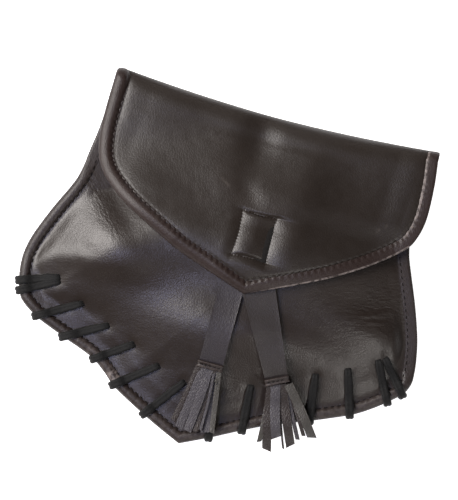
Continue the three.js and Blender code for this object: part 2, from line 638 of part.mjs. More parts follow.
/** One flat lace: out of each hole, over the front, round the edge and along the back to the next hole. */
function lacing() {
  const half = LACE_THICKNESS / 2;
  const clear = GAP + half;
  const up = new THREE.Vector3(0, 0, 1);
  const flat = (p, z = 0) => new THREE.Vector3(p.x, p.y, z);
  const stations = [];
  // The lace lies square to its normal, and its width square to the way that it runs in plan
  const add = (at, normal, way) => {
    const across = up.clone().cross(way).normalize();
    stations.push({ at, normal: normal.clone().normalize(), across });
  };
  // Highest and lowest of the surfaces that a strand crosses near a place
  const near = [[0, 0], [1, 0], [-1, 0], [0, 1], [0, -1]].map((way) => way.map((v) => v * LACE_REACH));
  const onBinding = (x, y) => Math.min(sideDistance(x, y), bottomDistance(x, y)) < BINDING_WIDTH + 2 * GAP;
  const overFront = (p) => {
    const heights = near.map(([dx, dy]) => {
      const [x, y] = [p.x + dx, p.y + dy];
      return onBinding(x, y) ? lift(y) + SEAM_MID + BODY_BINDING_HALF : frontHeight(x, y);
    });
    return Math.max(...heights) + clear + GAP;
  };
  const underBack = (p) => {
    const heights = near.map(([dx, dy]) => backHeight(p.x + dx, p.y + dy));
    return Math.min(lift(p.y) + SEAM_MID - BODY_BINDING_HALF, ...heights) - clear;
  };
  LACE_STITCHES.forEach((stitch, i) => {
    const { point, inward } = outlineFoot(stitch.edgeX, stitch.edgeY);
    const hole = new THREE.Vector2(stitch.holeX, stitch.holeY);
    const outward = flat(inward).negate();
    const way = flat(point).sub(flat(hole)).normalize();
    const back = way.clone().negate();
    // Up through the hole
    const top = overFront(hole);
    const bottom = i === 0 ? backHeight(hole.x, hole.y) + WALL + clear : underBack(hole);
    add(flat(hole, bottom), i === 0 ? back : back.clone().sub(up), way);
    add(flat(hole, (bottom + top) / 2), back, way);
    add(flat(hole, top), back.clone().add(up), way);
    // Over the front to the binding
    for (const share of [0.16, 0.42, 0.68, 0.88]) {
      const p = hole.clone().lerp(point, share);
      add(flat(p, overFront(p)), up, share > 0.8 ? way.clone().add(outward) : way);
    }
    // Round the edge
    const middle = lift(point.y) + SEAM_MID;
    for (const turn of [60, 20, -20, -60].map(degToRad)) {
      const [cos, sin] = [Math.cos(turn), Math.sin(turn)];
      const reach = BODY_BINDING_HALF + clear + GAP;
      const at = flat(point, middle + reach * sin).addScaledVector(outward, reach * cos - BODY_BINDING_HALF);
      add(at, outward.clone().multiplyScalar(cos).addScaledVector(up, sin), outward);
    }
    // Along the back to the next hole
    const next = LACE_STITCHES[i + 1];
    const target = next ? new THREE.Vector2(next.holeX, next.holeY) : hole;
    const backWay = flat(point).sub(flat(target));
    for (const share of next ? [0.3, 0.84] : [0.3, 0.6]) {
      const p = point.clone().lerp(target, share);
      add(flat(p, underBack(p)), up.clone().negate(), backWay);
    }
  });
  const section = SQUARE.map((corner) => new THREE.Vector2((corner.x * LACE_WIDTH) / 2, corner.y * half));
  const rings = stations.map(({ at, normal, across }) =>
    section.map((s) => at.clone().addScaledVector(across, s.x).addScaledVector(normal, s.y)),
  );
  return loft(rings, section);
}

// Straps and tassels

/** Height on which fringes lie: the front, the binding at its edge, and then down to the surface below. */
function layHeight(x, y, over) {
  const edge = Math.min(sideDistance(x, y), bottomDistance(x, y));
  const outside = y < lineLowest(x);
  const onBinding = lift(y) + SEAM_MID + BODY_BINDING_HALF;
  if (outside) return lerp(onBinding + over, FRINGE_END, smoothstep(edge, 0, FRINGE_DROP));
  const ramp = BODY_BINDING_HALF * 2 * smoothstep(edge, SLOT, SLOT + SHAPE_RUN);
  return Math.max(frontHeight(x, y), onBinding - ramp) + over;
}

/** Height of the laced edge below a place across the bag. */
function lineLowest(x) {
  const i = bottomLine.findIndex((p) => p.x >= x);
  if (i < 1) return CORNER_Y;
  const [a, b] = [bottomLine[i - 1], bottomLine[i]];
  return lerp(a.y, b.y, (x - a.x) / (b.x - a.x));
}

function strap({ top, end, level }) {
  const [from, to] = [top, end].map((p) => new THREE.Vector2(p.x, p.y));
  const down = to.clone().sub(from).normalize();
  const across = new THREE.Vector2(-down.y, down.x);
  const rows = 15;
  const grid = (above) =>
    Array.from({ length: rows }, (_, i) => {
      const p = from.clone().lerp(to, i / (rows - 1));
      const width = lerp(top.width, end.width, i / (rows - 1));
      return [-0.5, -0.17, 0.17, 0.5].map((share) => {
        const q = p.clone().addScaledVector(across, share * width);
        const stacked = level * (STRAP_WALL + GAP) * smoothstep(p.y, STRAP_CROSSING.from, STRAP_CROSSING.to);
        const raised = end.rise * (1 - smoothstep(p.y, end.y, end.y + STRAP_END_RUN));
        const under = frontHeight(q.x, q.y) + STRAP_CLEAR + stacked + raised;
        return new THREE.Vector3(q.x, q.y, under + above);
      });
    });
  return wallBetween(grid(STRAP_WALL), grid(0));
}

/** A wrapped head under the strap's end with a fan of cut strips, fused together. */
function tassel({ top, end, fan }) {
  const down = new THREE.Vector2(end.x - top.x, end.y - top.y).normalize();
  const across = new THREE.Vector2(-down.y, down.x);
  const place = (side, along, lean = 0) => {
    const turned = down.clone().rotateAround(new THREE.Vector2(), degToRad(lean));
    return new THREE.Vector2(end.x, end.y).addScaledVector(across, side).addScaledVector(turned, along);
  };
  const headMiddle = end.rise + TASSEL_HEAD.clear + TASSEL_HEAD.thickness / 2;
  const ellipse = Array.from({ length: TASSEL_HEAD.sides }, (_, i) => {
    const turn = (i / TASSEL_HEAD.sides) * 2 * Math.PI;
    const round = new THREE.Vector2(Math.cos(turn), Math.sin(turn));
    return round.multiply(new THREE.Vector2(TASSEL_HEAD.width / 2, TASSEL_HEAD.thickness / 2));
  });
  const rings = HEAD_RINGS.map(({ along, swell }) =>
    ellipse.map((e) => {
      const p = place(e.x * swell, along);
      return new THREE.Vector3(p.x, p.y, layHeight(p.x, p.y, headMiddle) + e.y * swell);
    }),
  );
  const head = toSolid(loft(rings, ellipse));
  const fused = TASSEL_STRIPS.reduce((solid, strip) => {
    const steps = 6;
    const stripRings = Array.from({ length: steps + 1 }, (_, i) => {
      const along = lerp(FRINGE_ROOT.from, strip.length, i / steps);
      const p = place(strip.shift, along, strip.lean * fan);
      const sideways = across.clone().rotateAround(new THREE.Vector2(), degToRad(strip.lean * fan));
      const over = lerp(headMiddle, FRINGE_OVER, smoothstep(along, FRINGE_ROOT.from, FRINGE_ROOT.to));
      const z = layHeight(p.x, p.y, over + strip.layer * STRIP_LAYER);
      return SQUARE.map((s) => {
        const q = p.clone().addScaledVector(sideways, (s.x * strip.width) / 2);
        return new THREE.Vector3(q.x, q.y, z + (s.y * STRIP_WALL) / 2);
      });
    });
    return solid.add(toSolid(loft(stripRings, SQUARE)));
  }, head);
  return fromSolid(fused);
}

// Hidden pieces

/** Plain fastening patch between the flap and the straps. */
function closurePatch() {
  const geometry = new THREE.BoxGeometry(CLOSURE.width, CLOSURE.height, CLOSURE.thickness, 4, 5, 1);
  const position = geometry.getAttribute("position");
  for (let i = 0; i < position.count; i++) {
    const [x, y] = [CLOSURE.x + position.getX(i), CLOSURE.y + position.getY(i)];
    const underFlap = flapHeight(x, y) - WALL - 2 * GAP - CLOSURE.thickness / 2;
    position.setXYZ(i, x, y, underFlap + position.getZ(i));
  }
  return geometry;
}

/** Plain strap across the back, sewn at its upper and lower ends, for a belt to pass through. */
function beltLoop() {
  const floor = LOOP_WALL;
  const seat = (y) => lift(y) - GAP;
  const steps = 6;
  const upper = [];
  const addRamp = (fromY, toY) => {
    for (let i = 0; i <= steps; i++) {
      const y = lerp(fromY, toY, i / steps);
      const share = smoothstep(i / steps, 0, 1);
      upper.push(new THREE.Vector2(y, lerp(seat(fromY), floor, share)));
    }
  };
  upper.push(new THREE.Vector2(LOOP.bottom, seat(LOOP.bottom)));
  upper.push(new THREE.Vector2(LOOP.bottom + LOOP.land / 2, seat(LOOP.bottom + LOOP.land / 2)));
  addRamp(LOOP.bottom + LOOP.land, LOOP.bottom + LOOP.land + LOOP.ramp);
  const far = upper.length;
  addRamp(LOOP.top - LOOP.land, LOOP.top - LOOP.land - LOOP.ramp);
  upper.push(...upper.splice(far).reverse());
  upper.push(new THREE.Vector2(LOOP.top, seat(LOOP.top)));
  const under = insetLine([...upper].reverse(), LOOP_WALL);
  const profile = new THREE.Shape([...upper, ...under]);
  const geometry = new THREE.ExtrudeGeometry(profile, { depth: LOOP_WIDTH, bevelEnabled: false });
  // The profile's first axis becomes Y, its second Z, and its depth X
  const turn = new THREE.Matrix4().makeBasis(
    new THREE.Vector3(0, 1, 0),
    new THREE.Vector3(0, 0, 1),
    new THREE.Vector3(1, 0, 0),
  );
  return geometry.applyMatrix4(turn).translate(-LOOP_WIDTH / 2, 0, 0);
}

// Assembly

const leather = new THREE.MeshStandardMaterial({ color: 0x3a332f, roughness: 0.42, metalness: 0 });
const edging = new THREE.MeshStandardMaterial({ color: 0x3f3331, roughness: 0.48, metalness: 0 });
const strapLeather = new THREE.MeshStandardMaterial({ color: 0x454041, roughness: 0.5, metalness: 0 });
const laceCord = new THREE.MeshStandardMaterial({ color: 0x1c1c1c, roughness: 0.9, metalness: 0 });
const patchCloth = new THREE.MeshStandardMaterial({ color: 0x201c1a, roughness: 0.95, metalness: 0 });

const bag = new THREE.Group();
const addPiece = (name, geometry, material) => {
  const mesh = new THREE.Mesh(geometry, material);
  mesh.name = name;
  bag.add(mesh);
};

addPiece("back_and_flap", backAndFlap(), leather);
addPiece("front_panel", frontPanel(), leather);
addPiece("body_binding", bodyBinding(), edging);
addPiece("flap_binding", flapBinding(), edging);
addPiece("lace", lacing(), laceCord);
for (const row of STRAPS) {
  addPiece(`strap_${row.name}`, strap(row), strapLeather);
  addPiece(`tassel_${row.name}`, tassel(row), strapLeather);
}
addPiece("closure_patch", closurePatch(), patchCloth);
addPiece("belt_loop", beltLoop(), leather);

export default bag;
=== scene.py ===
"""Looks of a leather belt bag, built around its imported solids.

Lengths are in millimetres until a mesh is made. X runs across the bag, Y from its pointed bottom to its
folded top and Z out of its front, as in the frame.
"""
import math

import bpy
import numpy as np
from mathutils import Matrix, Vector


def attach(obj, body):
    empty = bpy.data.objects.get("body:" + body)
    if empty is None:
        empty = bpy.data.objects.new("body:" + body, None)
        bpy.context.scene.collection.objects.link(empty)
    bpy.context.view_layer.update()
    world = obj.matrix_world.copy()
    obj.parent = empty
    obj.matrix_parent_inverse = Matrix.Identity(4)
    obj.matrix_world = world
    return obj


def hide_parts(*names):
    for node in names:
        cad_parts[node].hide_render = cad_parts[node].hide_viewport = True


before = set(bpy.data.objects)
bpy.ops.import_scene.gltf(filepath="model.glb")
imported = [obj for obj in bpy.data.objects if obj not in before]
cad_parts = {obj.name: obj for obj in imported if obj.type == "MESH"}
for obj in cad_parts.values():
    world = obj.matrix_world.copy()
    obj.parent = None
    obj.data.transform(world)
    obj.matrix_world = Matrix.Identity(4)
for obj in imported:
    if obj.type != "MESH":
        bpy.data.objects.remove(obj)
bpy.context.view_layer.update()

# Sizes that the solids have too
MM = 0.001
TOP_Y = 93.8
TOP_DIP = 4.6
DIP_POWER = 1.8
TOP_MIDDLE = 4.0
HALF_TOP = 88.0
FOLD_FOOT = 6.0
FOLD_RUN = 11.0
FOLD_ROW = 88.0
MOUTH_Y = 78.0
TIP_X, TIP_Y = -2.6, -94.8
FLAP_TIP_X, FLAP_TIP_Y = 10.4, -7.0
WALL = 1.4
GAP = 0.3
BINDING_WIDTH = 6.5
SHEET_INSET = 2.2
LOOP_GAP = 5.0
LOOP_WALL = 1.6
LIFT = LOOP_GAP + LOOP_WALL
LIFT_FROM, LIFT_TO = -20.0, 28.0
SEAM_RISE = 3.1
RISE_FROM, RISE_TO = 16.0, 44.0
FRONT_EDGE = SEAM_RISE + WALL + GAP + WALL
SEAM_MID = (SEAM_RISE + FRONT_EDGE) / 2
PUFF = 15.0
PUFF_RUN = 68.0
MOUTH_SHARE = 0.2
PUFF_FULL_Y = 8.0
FILL_BLEND = 12.0
SLOT = 7.5
SHAPE_RUN = 7.0
LACE_BAND = 17.0
BAND_RISE = 0.4
BAND_EASE = 9.0
BAND_RUN, BAND_SIDE = 11.0, 24.0
BAND_FADE = (26.0, 60.0)
CORNER_Y = -35.0
FLAP_CLEAR = 2.4
SIDE_CLEAR, SIDE_CLEAR_FROM, SIDE_CLEAR_TO = 2.6, 2.0, 22.0
CLOSURE_CLEAR, CLOSURE_Y, CLOSURE_ACROSS, CLOSURE_ALONG = 4.8, 18.0, 24.0, 30.0
BOX_X, BOX_Y, BOX_WIDTH, BOX_HEIGHT = 7.8, 24.3, 19.0, 25.0
PATCH_THICKNESS = 1.2

# Outer edges of the bindings: height, left, right
BODY_SECTIONS = np.array([
    (90, -86.8, 93.4), (78, -87, 92.6), (60, -88, 90.6), (46, -89.9, 89.8), (36, -91.2, 91.6),
    (28, -93.4, 94.6), (10, -101.8, 102), (-6, -108.2, 107.6), (-16, -110.4, 109.9), (-24, -110.4, 111),
    (-31, -109.2, 111), (-37, -107.4, 108.4), (-42, -104.2, 103.2), (-48.6, -94, 95), (-55, -78, 85),
    (-61.6, -60.6, 70.2), (-68, -51.4, 54), (-74.5, -43.6, 38), (-87.5, -18.8, 12.6), (TIP_Y, TIP_X, TIP_X),
])
FLAP_SECTIONS = np.array([
    (90, -86.8, 93.4), (75, -87.2, 94.8), (62, -87.2, 95.4), (54, -86.4, 95), (46.5, -84.8, 93.2),
    (40, -82, 90), (32.4, -75.6, 82), (23.4, -63.4, 70), (13, -43.4, 53), (5.4, -26.6, 37.6),
    (FLAP_TIP_Y, FLAP_TIP_X, FLAP_TIP_X),
])
LEFT, RIGHT = 1, 2

# Soft bulges and hollows: centre, reach along and across their own direction, its turn, and height.
# Those of the front fade out before its binding, apart from the ones in EDGE_FOLDS, which run up to it.
FRONT_FOLDS = [
    (-62, -2, 24, 18, 0, 4.6),
    (-82, -12, 22, 6, 1, 1.15),
    (-86, -37.5, 11, 5, 0, -1.1),
    (-66, -39, 10, 7, 0, -1.0),
    (-97, -33, 7, 7, 0, 0.5),
    (20, -22, 16, 11, 0, 1.2),
    (-58, 36, 26, 20, 0, -4.4),
    (-70, 25, 22, 9, -48, -1.4),
    (14, -29, 60, 19, 0, 4.4),
    (-22, -5, 34, 9, -22, -0.5),
    (86, -11, 22, 9, -10, 2.4),
    (84, 14, 20, 10, 55, -0.8),
    (80, -1, 7, 1.3, 17, 0.5),
    (85, 2, 7, 1.2, 20, 0.44),
    (83, -4, 6, 1.2, 14, 0.36),
    (73, -5, 8, 1.6, 15, 0.12),
]
EDGE_FOLDS = [
    (-100, -17.5, 9, 6, 0, 1.2),
]
FLAP_FOLDS = [
    (-2, 76, 36, 9, 90, -2.0),
    (-10, 54, 16, 26, 90, 2.2),
    (8, 20, 26, 30, 0, -1.2),
    (28, 57, 24, 14, 90, 2.0),
    (7.2, 25, 15, 13, 0, -1.0),
    (-76, 28, 34, 17, 0, 4.6),
    (-18, 32, 24, 14, 0, -0.9),
    (-28, 15, 14, 14, 0, 1.0),
    (-12, 4, 16, 9, 0, 0.9),
    (-62, 16, 30, 14, 0, 2.6),
]

# Scratches on the flap: both ends
FLAP_SCRATCHES = [
    ((71, 43.7), (75, 47.6)),
    ((-16.6, 49.8), (-12.6, 47.0)),
]

LACE_WIDTH = 4.3
LACE_RISE = 2.4

# Lacing, from right to left: the hole where a strand comes out, and where it turns round the edge
LACE_STITCHES = np.array([
    (94, -21.8, 108.4, -38.6), (90.4, -24, 101.4, -45), (75.7, -32.7, 83.2, -56.6),
    (59.4, -39.9, 62.9, -64.8), (43.3, -47.8, 45.6, -72.4), (27.1, -54.9, 29, -79.2),
    (9.6, -62, 12.6, -88), (-8.6, -62, -25.6, -84.6), (-24.5, -57, -45.6, -73.6),
    (-40.5, -49.2, -59.4, -62.6), (-56.5, -43, -78.4, -55.2), (-73, -35.1, -95.6, -48.2),
    (-88.2, -26.6, -107.6, -37), (-88.8, -24.6, -109.4, -31.4),
])

STRAP_WALL = 1.0
STRAP_CLEAR = 0.7
STRAP_CROSSING = (-16.0, -4.0)
STRAP_END_RUN = 22.0

# Straps: top and end of the middle line, widths there, which lies on top, how far its end is raised, leather
STRAPS = {
    "left": dict(
        top=(3.3, 28), end=(3.1, -48.4), widths=(13.4, 13.2), level=0, rise=0.4, material="strap_leather"),
    "right": dict(
        top=(2.2, 28), end=(39.5, -47), widths=(22, 12.2), level=1, rise=3.4, material="strap_warm"),
}

# Belt loop
LOOP_WIDTH = 60.0
LOOP_TOP, LOOP_BOTTOM, LOOP_LAND, LOOP_RAMP = 84.0, 13.0, 6.0, 8.0

# Details of the surface alone
STITCH_PITCH = 3.6
STITCH_LENGTH = 2.3
STITCH_WIDTH = 0.6
STITCH_STATIONS, STITCH_SIDES = 7, 8
EDGE_STEP = 2
UP = np.array([0.0, 0.0, 1.0])


# Numbers

def smoothstep(value, low, high):
    t = np.clip((value - low) / (high - low), 0, 1)
    return t * t * (3 - 2 * t)


def lerp(a, b, t):
    return a + (b - a) * t


def bump(value, middle, width):
    """A bell that is 1 at the middle and fades over the width."""
    return np.exp(-(((value - middle) / width) ** 2))


def smooth_min(a, b, blend):
    h = np.clip(0.5 + (b - a) / (2 * blend), 0, 1)
    return lerp(b, a, h) - blend * h * (1 - h)


def unit(vectors):
    return vectors / np.maximum(np.linalg.norm(vectors, axis=-1, keepdims=True), 1e-9)


def section(rows, column, y):
    """Cubic through a table's rows, the slope at each row taken from its neighbours."""
    heights, values = rows[::-1, 0], rows[::-1, column]
    steps, rises = (np.diff(np.pad(row, 1, "edge")) for row in (heights, values))
    slopes = (rises[1:] + rises[:-1]) / (steps[1:] + steps[:-1])
    i = np.clip(np.searchsorted(heights, y) - 1, 0, len(heights) - 2)
    span = heights[i + 1] - heights[i]
    t = np.clip((y - heights[i]) / span, 0, 1)
    return (
        (2 * t**3 - 3 * t**2 + 1) * values[i]
        + (t**3 - 2 * t**2 + t) * span * slopes[i]
        + (3 * t**2 - 2 * t**3) * values[i + 1]
        + (t**3 - t**2) * span * slopes[i + 1]
    )


def lengths_along(line):
    """How far along a line of points each point lies."""
    return np.concatenate([[0], np.cumsum(np.linalg.norm(np.diff(line, axis=0), axis=1))])


def values_at(rows, along, want):
    """Rows of values, given at lengths along a line, at other lengths along it."""
    return np.stack([np.interp(want, along, column) for column in rows.T], axis=1)


def respaced(line, spacing):
    """The same line with its points an even distance apart."""
    along = lengths_along(line)
    return values_at(line, along, np.linspace(0, along[-1], max(2, round(along[-1] / spacing) + 1)))


def stepped(places, steps):
    """Places from each one to the next, in as many even steps as are given."""
    ends = np.cumsum([0, *steps])
    return np.interp(np.arange(ends[-1] + 1), ends, places)


def inset_line(line, inset):
    """A flat line moved to its left, with its corners mitred."""
    steps = unit(np.diff(line, axis=0))
    normals = np.stack([-steps[:, 1], steps[:, 0]], axis=1)
    before, after = np.vstack([normals[:1], normals]), np.vstack([normals, normals[-1:]])
    mitres = unit(before + after)
    return line + mitres / np.sum(mitres * after, axis=1, keepdims=True) * inset


def nearest_on(line, x, y):
    """Distance from points to a flat line, and how far along it the nearest place lies."""
    best, along = np.full(x.shape, np.inf), np.zeros(x.shape)
    starts = lengths_along(line)
    for (ax, ay), (bx, by), start in zip(line[:-1], line[1:], starts):
        dx, dy = bx - ax, by - ay
        length = math.hypot(dx, dy)
        t = np.clip(((x - ax) * dx + (y - ay) * dy) / length**2, 0, 1)
        distance = np.hypot(x - ax - t * dx, y - ay - t * dy)
        closer = distance < best
        best = np.where(closer, distance, best)
        along = np.where(closer, start + t * length, along)
    return best, along


def turned(x, y, turn):
    """Places along and across a direction."""
    c, s = math.cos(turn), math.sin(turn)
    return x * c + y * s, y * c - x * s


def fold_height(folds, x, y):
    """Sum of a table's soft bulges."""
    total = np.zeros(np.shape(x))
    for middle_x, middle_y, reach, width, turn, height in folds:
        along, across = turned(x - middle_x, y - middle_y, math.radians(turn))
        total = total + height * np.exp(-((along / reach) ** 2) - (across / width) ** 2)
    return total


def swells(seed, count, shortest, longest, height):
    """A soft random relief: sine waves of seeded directions and lengths."""
    draw = np.random.default_rng(seed)
    turns = draw.uniform(0, math.pi, count)
    waves = draw.uniform(shortest, longest, count)
    phases = draw.uniform(0, 2 * math.pi, count)

    def relief(x, y):
        total = np.zeros(np.shape(x))
        for turn, wave, phase in zip(turns, waves, phases):
            travel = turned(x, y, turn)[0] / wave
            total = total + wave / longest * np.sin(2 * math.pi * travel + phase)
        return total * height / math.sqrt(count)

    return relief


# Outlines, from the upper left over the tip to the upper right

def outline(rows):
    y = np.arange(rows[0, 0], rows[-1, 0], -1.0)
    left = np.stack([section(rows, LEFT, y), y], axis=1)
    right = np.stack([section(rows, RIGHT, y), y], axis=1)
    tip = rows[-1:, [1, 0]]
    return np.vstack([left, tip, right[::-1]])


body_outline = outline(BODY_SECTIONS)
flap_outline = outline(FLAP_SECTIONS)
laced = body_outline[:, 1] <= CORNER_Y
bottom_line = respaced(body_outline[laced], EDGE_STEP)
middle_point = len(body_outline) // 2
left_line = respaced(body_outline[:middle_point][~laced[:middle_point]], EDGE_STEP)
right_line = respaced(body_outline[middle_point:][~laced[middle_point:]], EDGE_STEP)


def side_distance(x, y):
    return np.minimum(nearest_on(left_line, x, y)[0], nearest_on(right_line, x, y)[0])


def bottom_distance(x, y):
    return nearest_on(bottom_line, x, y)[0]


def edge_distance(x, y):
    return np.minimum(side_distance(x, y), bottom_distance(x, y))


# Heights of the plain surfaces, as the solids have them

def lift(y):
    return LIFT * smoothstep(y, LIFT_FROM, LIFT_TO)


def seam_rise(inset):
    return SEAM_RISE * (1 - smoothstep(inset, RISE_FROM, RISE_TO))


def back_height(x, y):
    return lift(y) + seam_rise(edge_distance(x, y))


def puff_height(side, over_band, y):
    fill = np.maximum(0, smooth_min(side - SLOT, over_band, FILL_BLEND))
    share = 1 - np.clip(fill / PUFF_RUN, 0, 1)
    return PUFF * (1 - share**2) * lerp(1, MOUTH_SHARE, smoothstep(y, PUFF_FULL_Y, MOUTH_Y))


def flap_height(x, y):
    side, bottom = side_distance(x, y), bottom_distance(x, y)
    over_closure = bump(x, BOX_X, CLOSURE_ACROSS) * bump(y, CLOSURE_Y, CLOSURE_ALONG)
    clear = (
        FLAP_CLEAR
        + SIDE_CLEAR * (1 - smoothstep(side, SIDE_CLEAR_FROM, SIDE_CLEAR_TO))
        + CLOSURE_CLEAR * over_closure
    )
    puff = puff_height(side, bottom - LACE_BAND, y)
    return lift(y) + FRONT_EDGE + puff + clear + fold_height(FLAP_FOLDS, x, y) + WALL


def top_fold(x):
    """The fold over the top: how far up it reaches, its middle height and its outer radius."""
    reach = TOP_Y - TOP_DIP * (1 - (np.abs(x - TOP_MIDDLE) / HALF_TOP) ** DIP_POWER)
    low, high = back_height(x, reach - FOLD_FOOT), flap_height(x, reach - FOLD_FOOT)
    return reach, (low + high) / 2, (high - low) / 2


# Finer relief of the visible surfaces

front_swells = swells(3, 14, 16, 46, 0.16)
flap_swells = swells(11, 14, 16, 44, 0.05)
back_swells = swells(5, 10, 18, 60, 0.2)
fine_swells = swells(23, 16, 3.5, 9, 0.02)

# Short creases that run in from each lace hole: bearings, how far these stray, and ranges of the rest
PUCKER_BEARINGS, PUCKER_STRAY = (-62, -30, 4, 34, 66), 9
PUCKER_HEIGHTS, PUCKER_LENGTHS, PUCKER_WIDTHS = (0.03, 0.1), (10, 20), (1.4, 2.4)
DIMPLE_DEPTH, DIMPLE_REACH = 0.5, 3.6
FURROW_DEPTH, FURROW_REACH = 0.28, 3.4


def pucker_height(x, y):
    draw = np.random.default_rng(41)
    total = np.zeros(x.shape)
    for hole_x, hole_y, edge_x, edge_y in LACE_STITCHES:
        inward = math.atan2(hole_y - edge_y, hole_x - edge_x)
        for bearing in PUCKER_BEARINGS:
            turn = inward + math.radians(bearing + draw.uniform(-PUCKER_STRAY, PUCKER_STRAY))
            height = draw.uniform(*PUCKER_HEIGHTS) * draw.choice([-1, 1, 1])
            length, width = draw.uniform(*PUCKER_LENGTHS), draw.uniform(*PUCKER_WIDTHS)
            along, across = turned(x - hole_x, y - hole_y, turn)
            spread = width * (1 + np.clip(along, 0, None) / length)
            ramp = smoothstep(along, 0.5, 4) * (1 - smoothstep(along, 0.4 * length, length))
            total += height * ramp * bump(across, 0, spread)
    return total


def lace_press(x, y):
    """How far the lace pulls the front in: a dimple at each hole and a furrow under each strand."""
    depth = np.zeros(x.shape)
    for strand in LACE_STITCHES.reshape(-1, 2, 2):
        from_hole = np.hypot(x - strand[0, 0], y - strand[0, 1])
        dimple = DIMPLE_DEPTH * bump(from_hole, 0, DIMPLE_REACH)
        furrow = FURROW_DEPTH * bump(nearest_on(strand, x, y)[0], 0, FURROW_REACH)
        depth = np.maximum(depth, np.maximum(dimple, furrow))
    return depth


def front_height(x, y):
    """Outer face of the front panel, with its folds and puckers."""
    side, bottom = side_distance(x, y), bottom_distance(x, y)
    inner = np.minimum(side, bottom)
    over_band = bottom - LACE_BAND
    eased = (over_band + np.hypot(over_band, BAND_EASE)) / 2
    eased = eased * smoothstep(bottom, BINDING_WIDTH - 1, LACE_BAND)
    height = lift(y) + FRONT_EDGE + puff_height(side, eased, y) + fine_swells(x, y)
    shaped = fold_height(FRONT_FOLDS, x, y) + front_swells(x, y) + pucker_height(x, y)
    height = height + shaped * smoothstep(inner, SLOT - 1, SLOT + SHAPE_RUN - 1)
    height = height + fold_height(EDGE_FOLDS, x, y) * smoothstep(inner, BINDING_WIDTH, SLOT + 2)
    band = BAND_RISE * np.sin(math.pi / 2 * np.clip((bottom - BINDING_WIDTH) / BAND_RUN, 0, 1))
    height = height + band * (1 - smoothstep(bottom, *BAND_FADE)) * smoothstep(side, SLOT - 1, BAND_SIDE)
    height = height - lace_press(x, y) * smoothstep(inner, BINDING_WIDTH, SLOT + 4)
    return np.maximum(height, lift(y) + seam_rise(inner) + 2 * WALL + GAP)


# Box stitched on the flap: how far its sides bow in, and its relief inside and outside its seam
BOX_BOW = 0.8
BOX_LEFT_DEPTH, BOX_RIGHT_DEPTH, BOX_PAD = 1.2, 3.0, 1.6
BOX_LEFT_RUN, BOX_RIGHT_RUN, BOX_TOP_RUN, BOX_LOW_RUN = 7.0, 15.0, 2.2, 6.0
BOX_LIP = 2.2
BOX_TOP_EASE = 0.4
BOX_PITCH, BOX_NOTCH = 1.7, 0.24


def pillow(depth, run):
    """How far a padded face has risen at a depth behind its seam, from 0 to 1."""
    return 1 - (1 - np.clip(depth / run, 0, 1)) ** 2


def box_side(across, along, half_across, half_along):
    """How far a place lies past one of the box's sides, which bow in."""
    bow = BOX_BOW * (1 - np.clip(along / half_along, -1, 1) ** 2)
    return np.abs(across) - (half_across - bow)


def box_relief(x, y):
    """The box stitched on the flap: a small pillow, notches at its stitches and a soft rise all round it."""
    u, v = x - BOX_X, y - BOX_Y
    half_width, half_height = BOX_WIDTH / 2, BOX_HEIGHT / 2
    past_u = box_side(u, v, half_width, half_height)
    past_v = box_side(v, u, half_height, half_width)
    run_u = np.where(u < 0, BOX_LEFT_RUN, BOX_RIGHT_RUN)
    run_v = np.where(v < 0, BOX_LOW_RUN, BOX_TOP_RUN)
    depth = lerp(BOX_LEFT_DEPTH, BOX_RIGHT_DEPTH, smoothstep(u, -half_width, half_width))
    depth = depth * (1 - BOX_TOP_EASE * smoothstep(v, 0.3 * half_height, half_height))
    sunk = (1 - pillow(past_u, run_u)) * (1 - pillow(past_v, run_v))
    padded = pillow(-past_u, half_width) * pillow(-past_v, BOX_LIP)
    from_seam = np.maximum(past_u, past_v)
    along = np.where(past_u > past_v, v, u)
    notch = BOX_NOTCH * np.cos(math.pi * along / BOX_PITCH) ** 2 * bump(from_seam, 0, 0.8)
    return BOX_PAD * padded - depth * sunk - notch


# The flap's rim beside its binding, which is wider on the left
RIM_RISE, RIM_RUN, RIM_FADE = 1.9, 14.0, 0.8
LEFT_WIDER = 1.8


def left_share(x):
    """1 along the left side of the flap, where its binding is fuller, and 0 along the right one."""
    return 1 - smoothstep(x, -20, 12)


def stitch_pits(along):
    """1 at each stitch along a seam and 0 half way between two."""
    return 0.5 + 0.5 * np.cos(2 * math.pi * along / STITCH_PITCH)


def seam_relief(distance, along, x, y):
    """A panel beside a binding: pressed in along the stitches, then rising to a soft rim."""
    full = left_share(x)
    past = distance - BINDING_WIDTH - LEFT_WIDER * full
    pressed = lerp(1, 0.5, full) * (0.2 + 0.3 * stitch_pits(along)) * bump(past, 0, 0.8)
    furrow = -0.12 * full * bump(past, 0, 3.4) - pressed
    faded = 1 - RIM_FADE * smoothstep(past, RIM_RUN, lerp(95, 50, full))
    low_share = 0.12 + 0.33 * full * smoothstep(y, 24, 38)
    share = lerp(low_share, 1, smoothstep(y, lerp(36, 54, full), lerp(50, 74, full)))
    return furrow + RIM_RISE * pillow(past, RIM_RUN) * faded * share


def flap_surface(x, y):
    """Outer face of the flap, with its rim, its stitched box and soft waves."""
    distance, along = nearest_on(flap_outline, x, y)
    inside = smoothstep(distance, BINDING_WIDTH, BINDING_WIDTH + 6)
    waves = (flap_swells(x, y) + fine_swells(y, x)) * inside
    return flap_height(x, y) + seam_relief(distance, along, x, y) + box_relief(x, y) + waves


# Materials

# Places of a colour mix's inputs and output, after those for other kinds of data
MIX_FIRST, MIX_SECOND, MIX_RESULT = 6, 7, 2


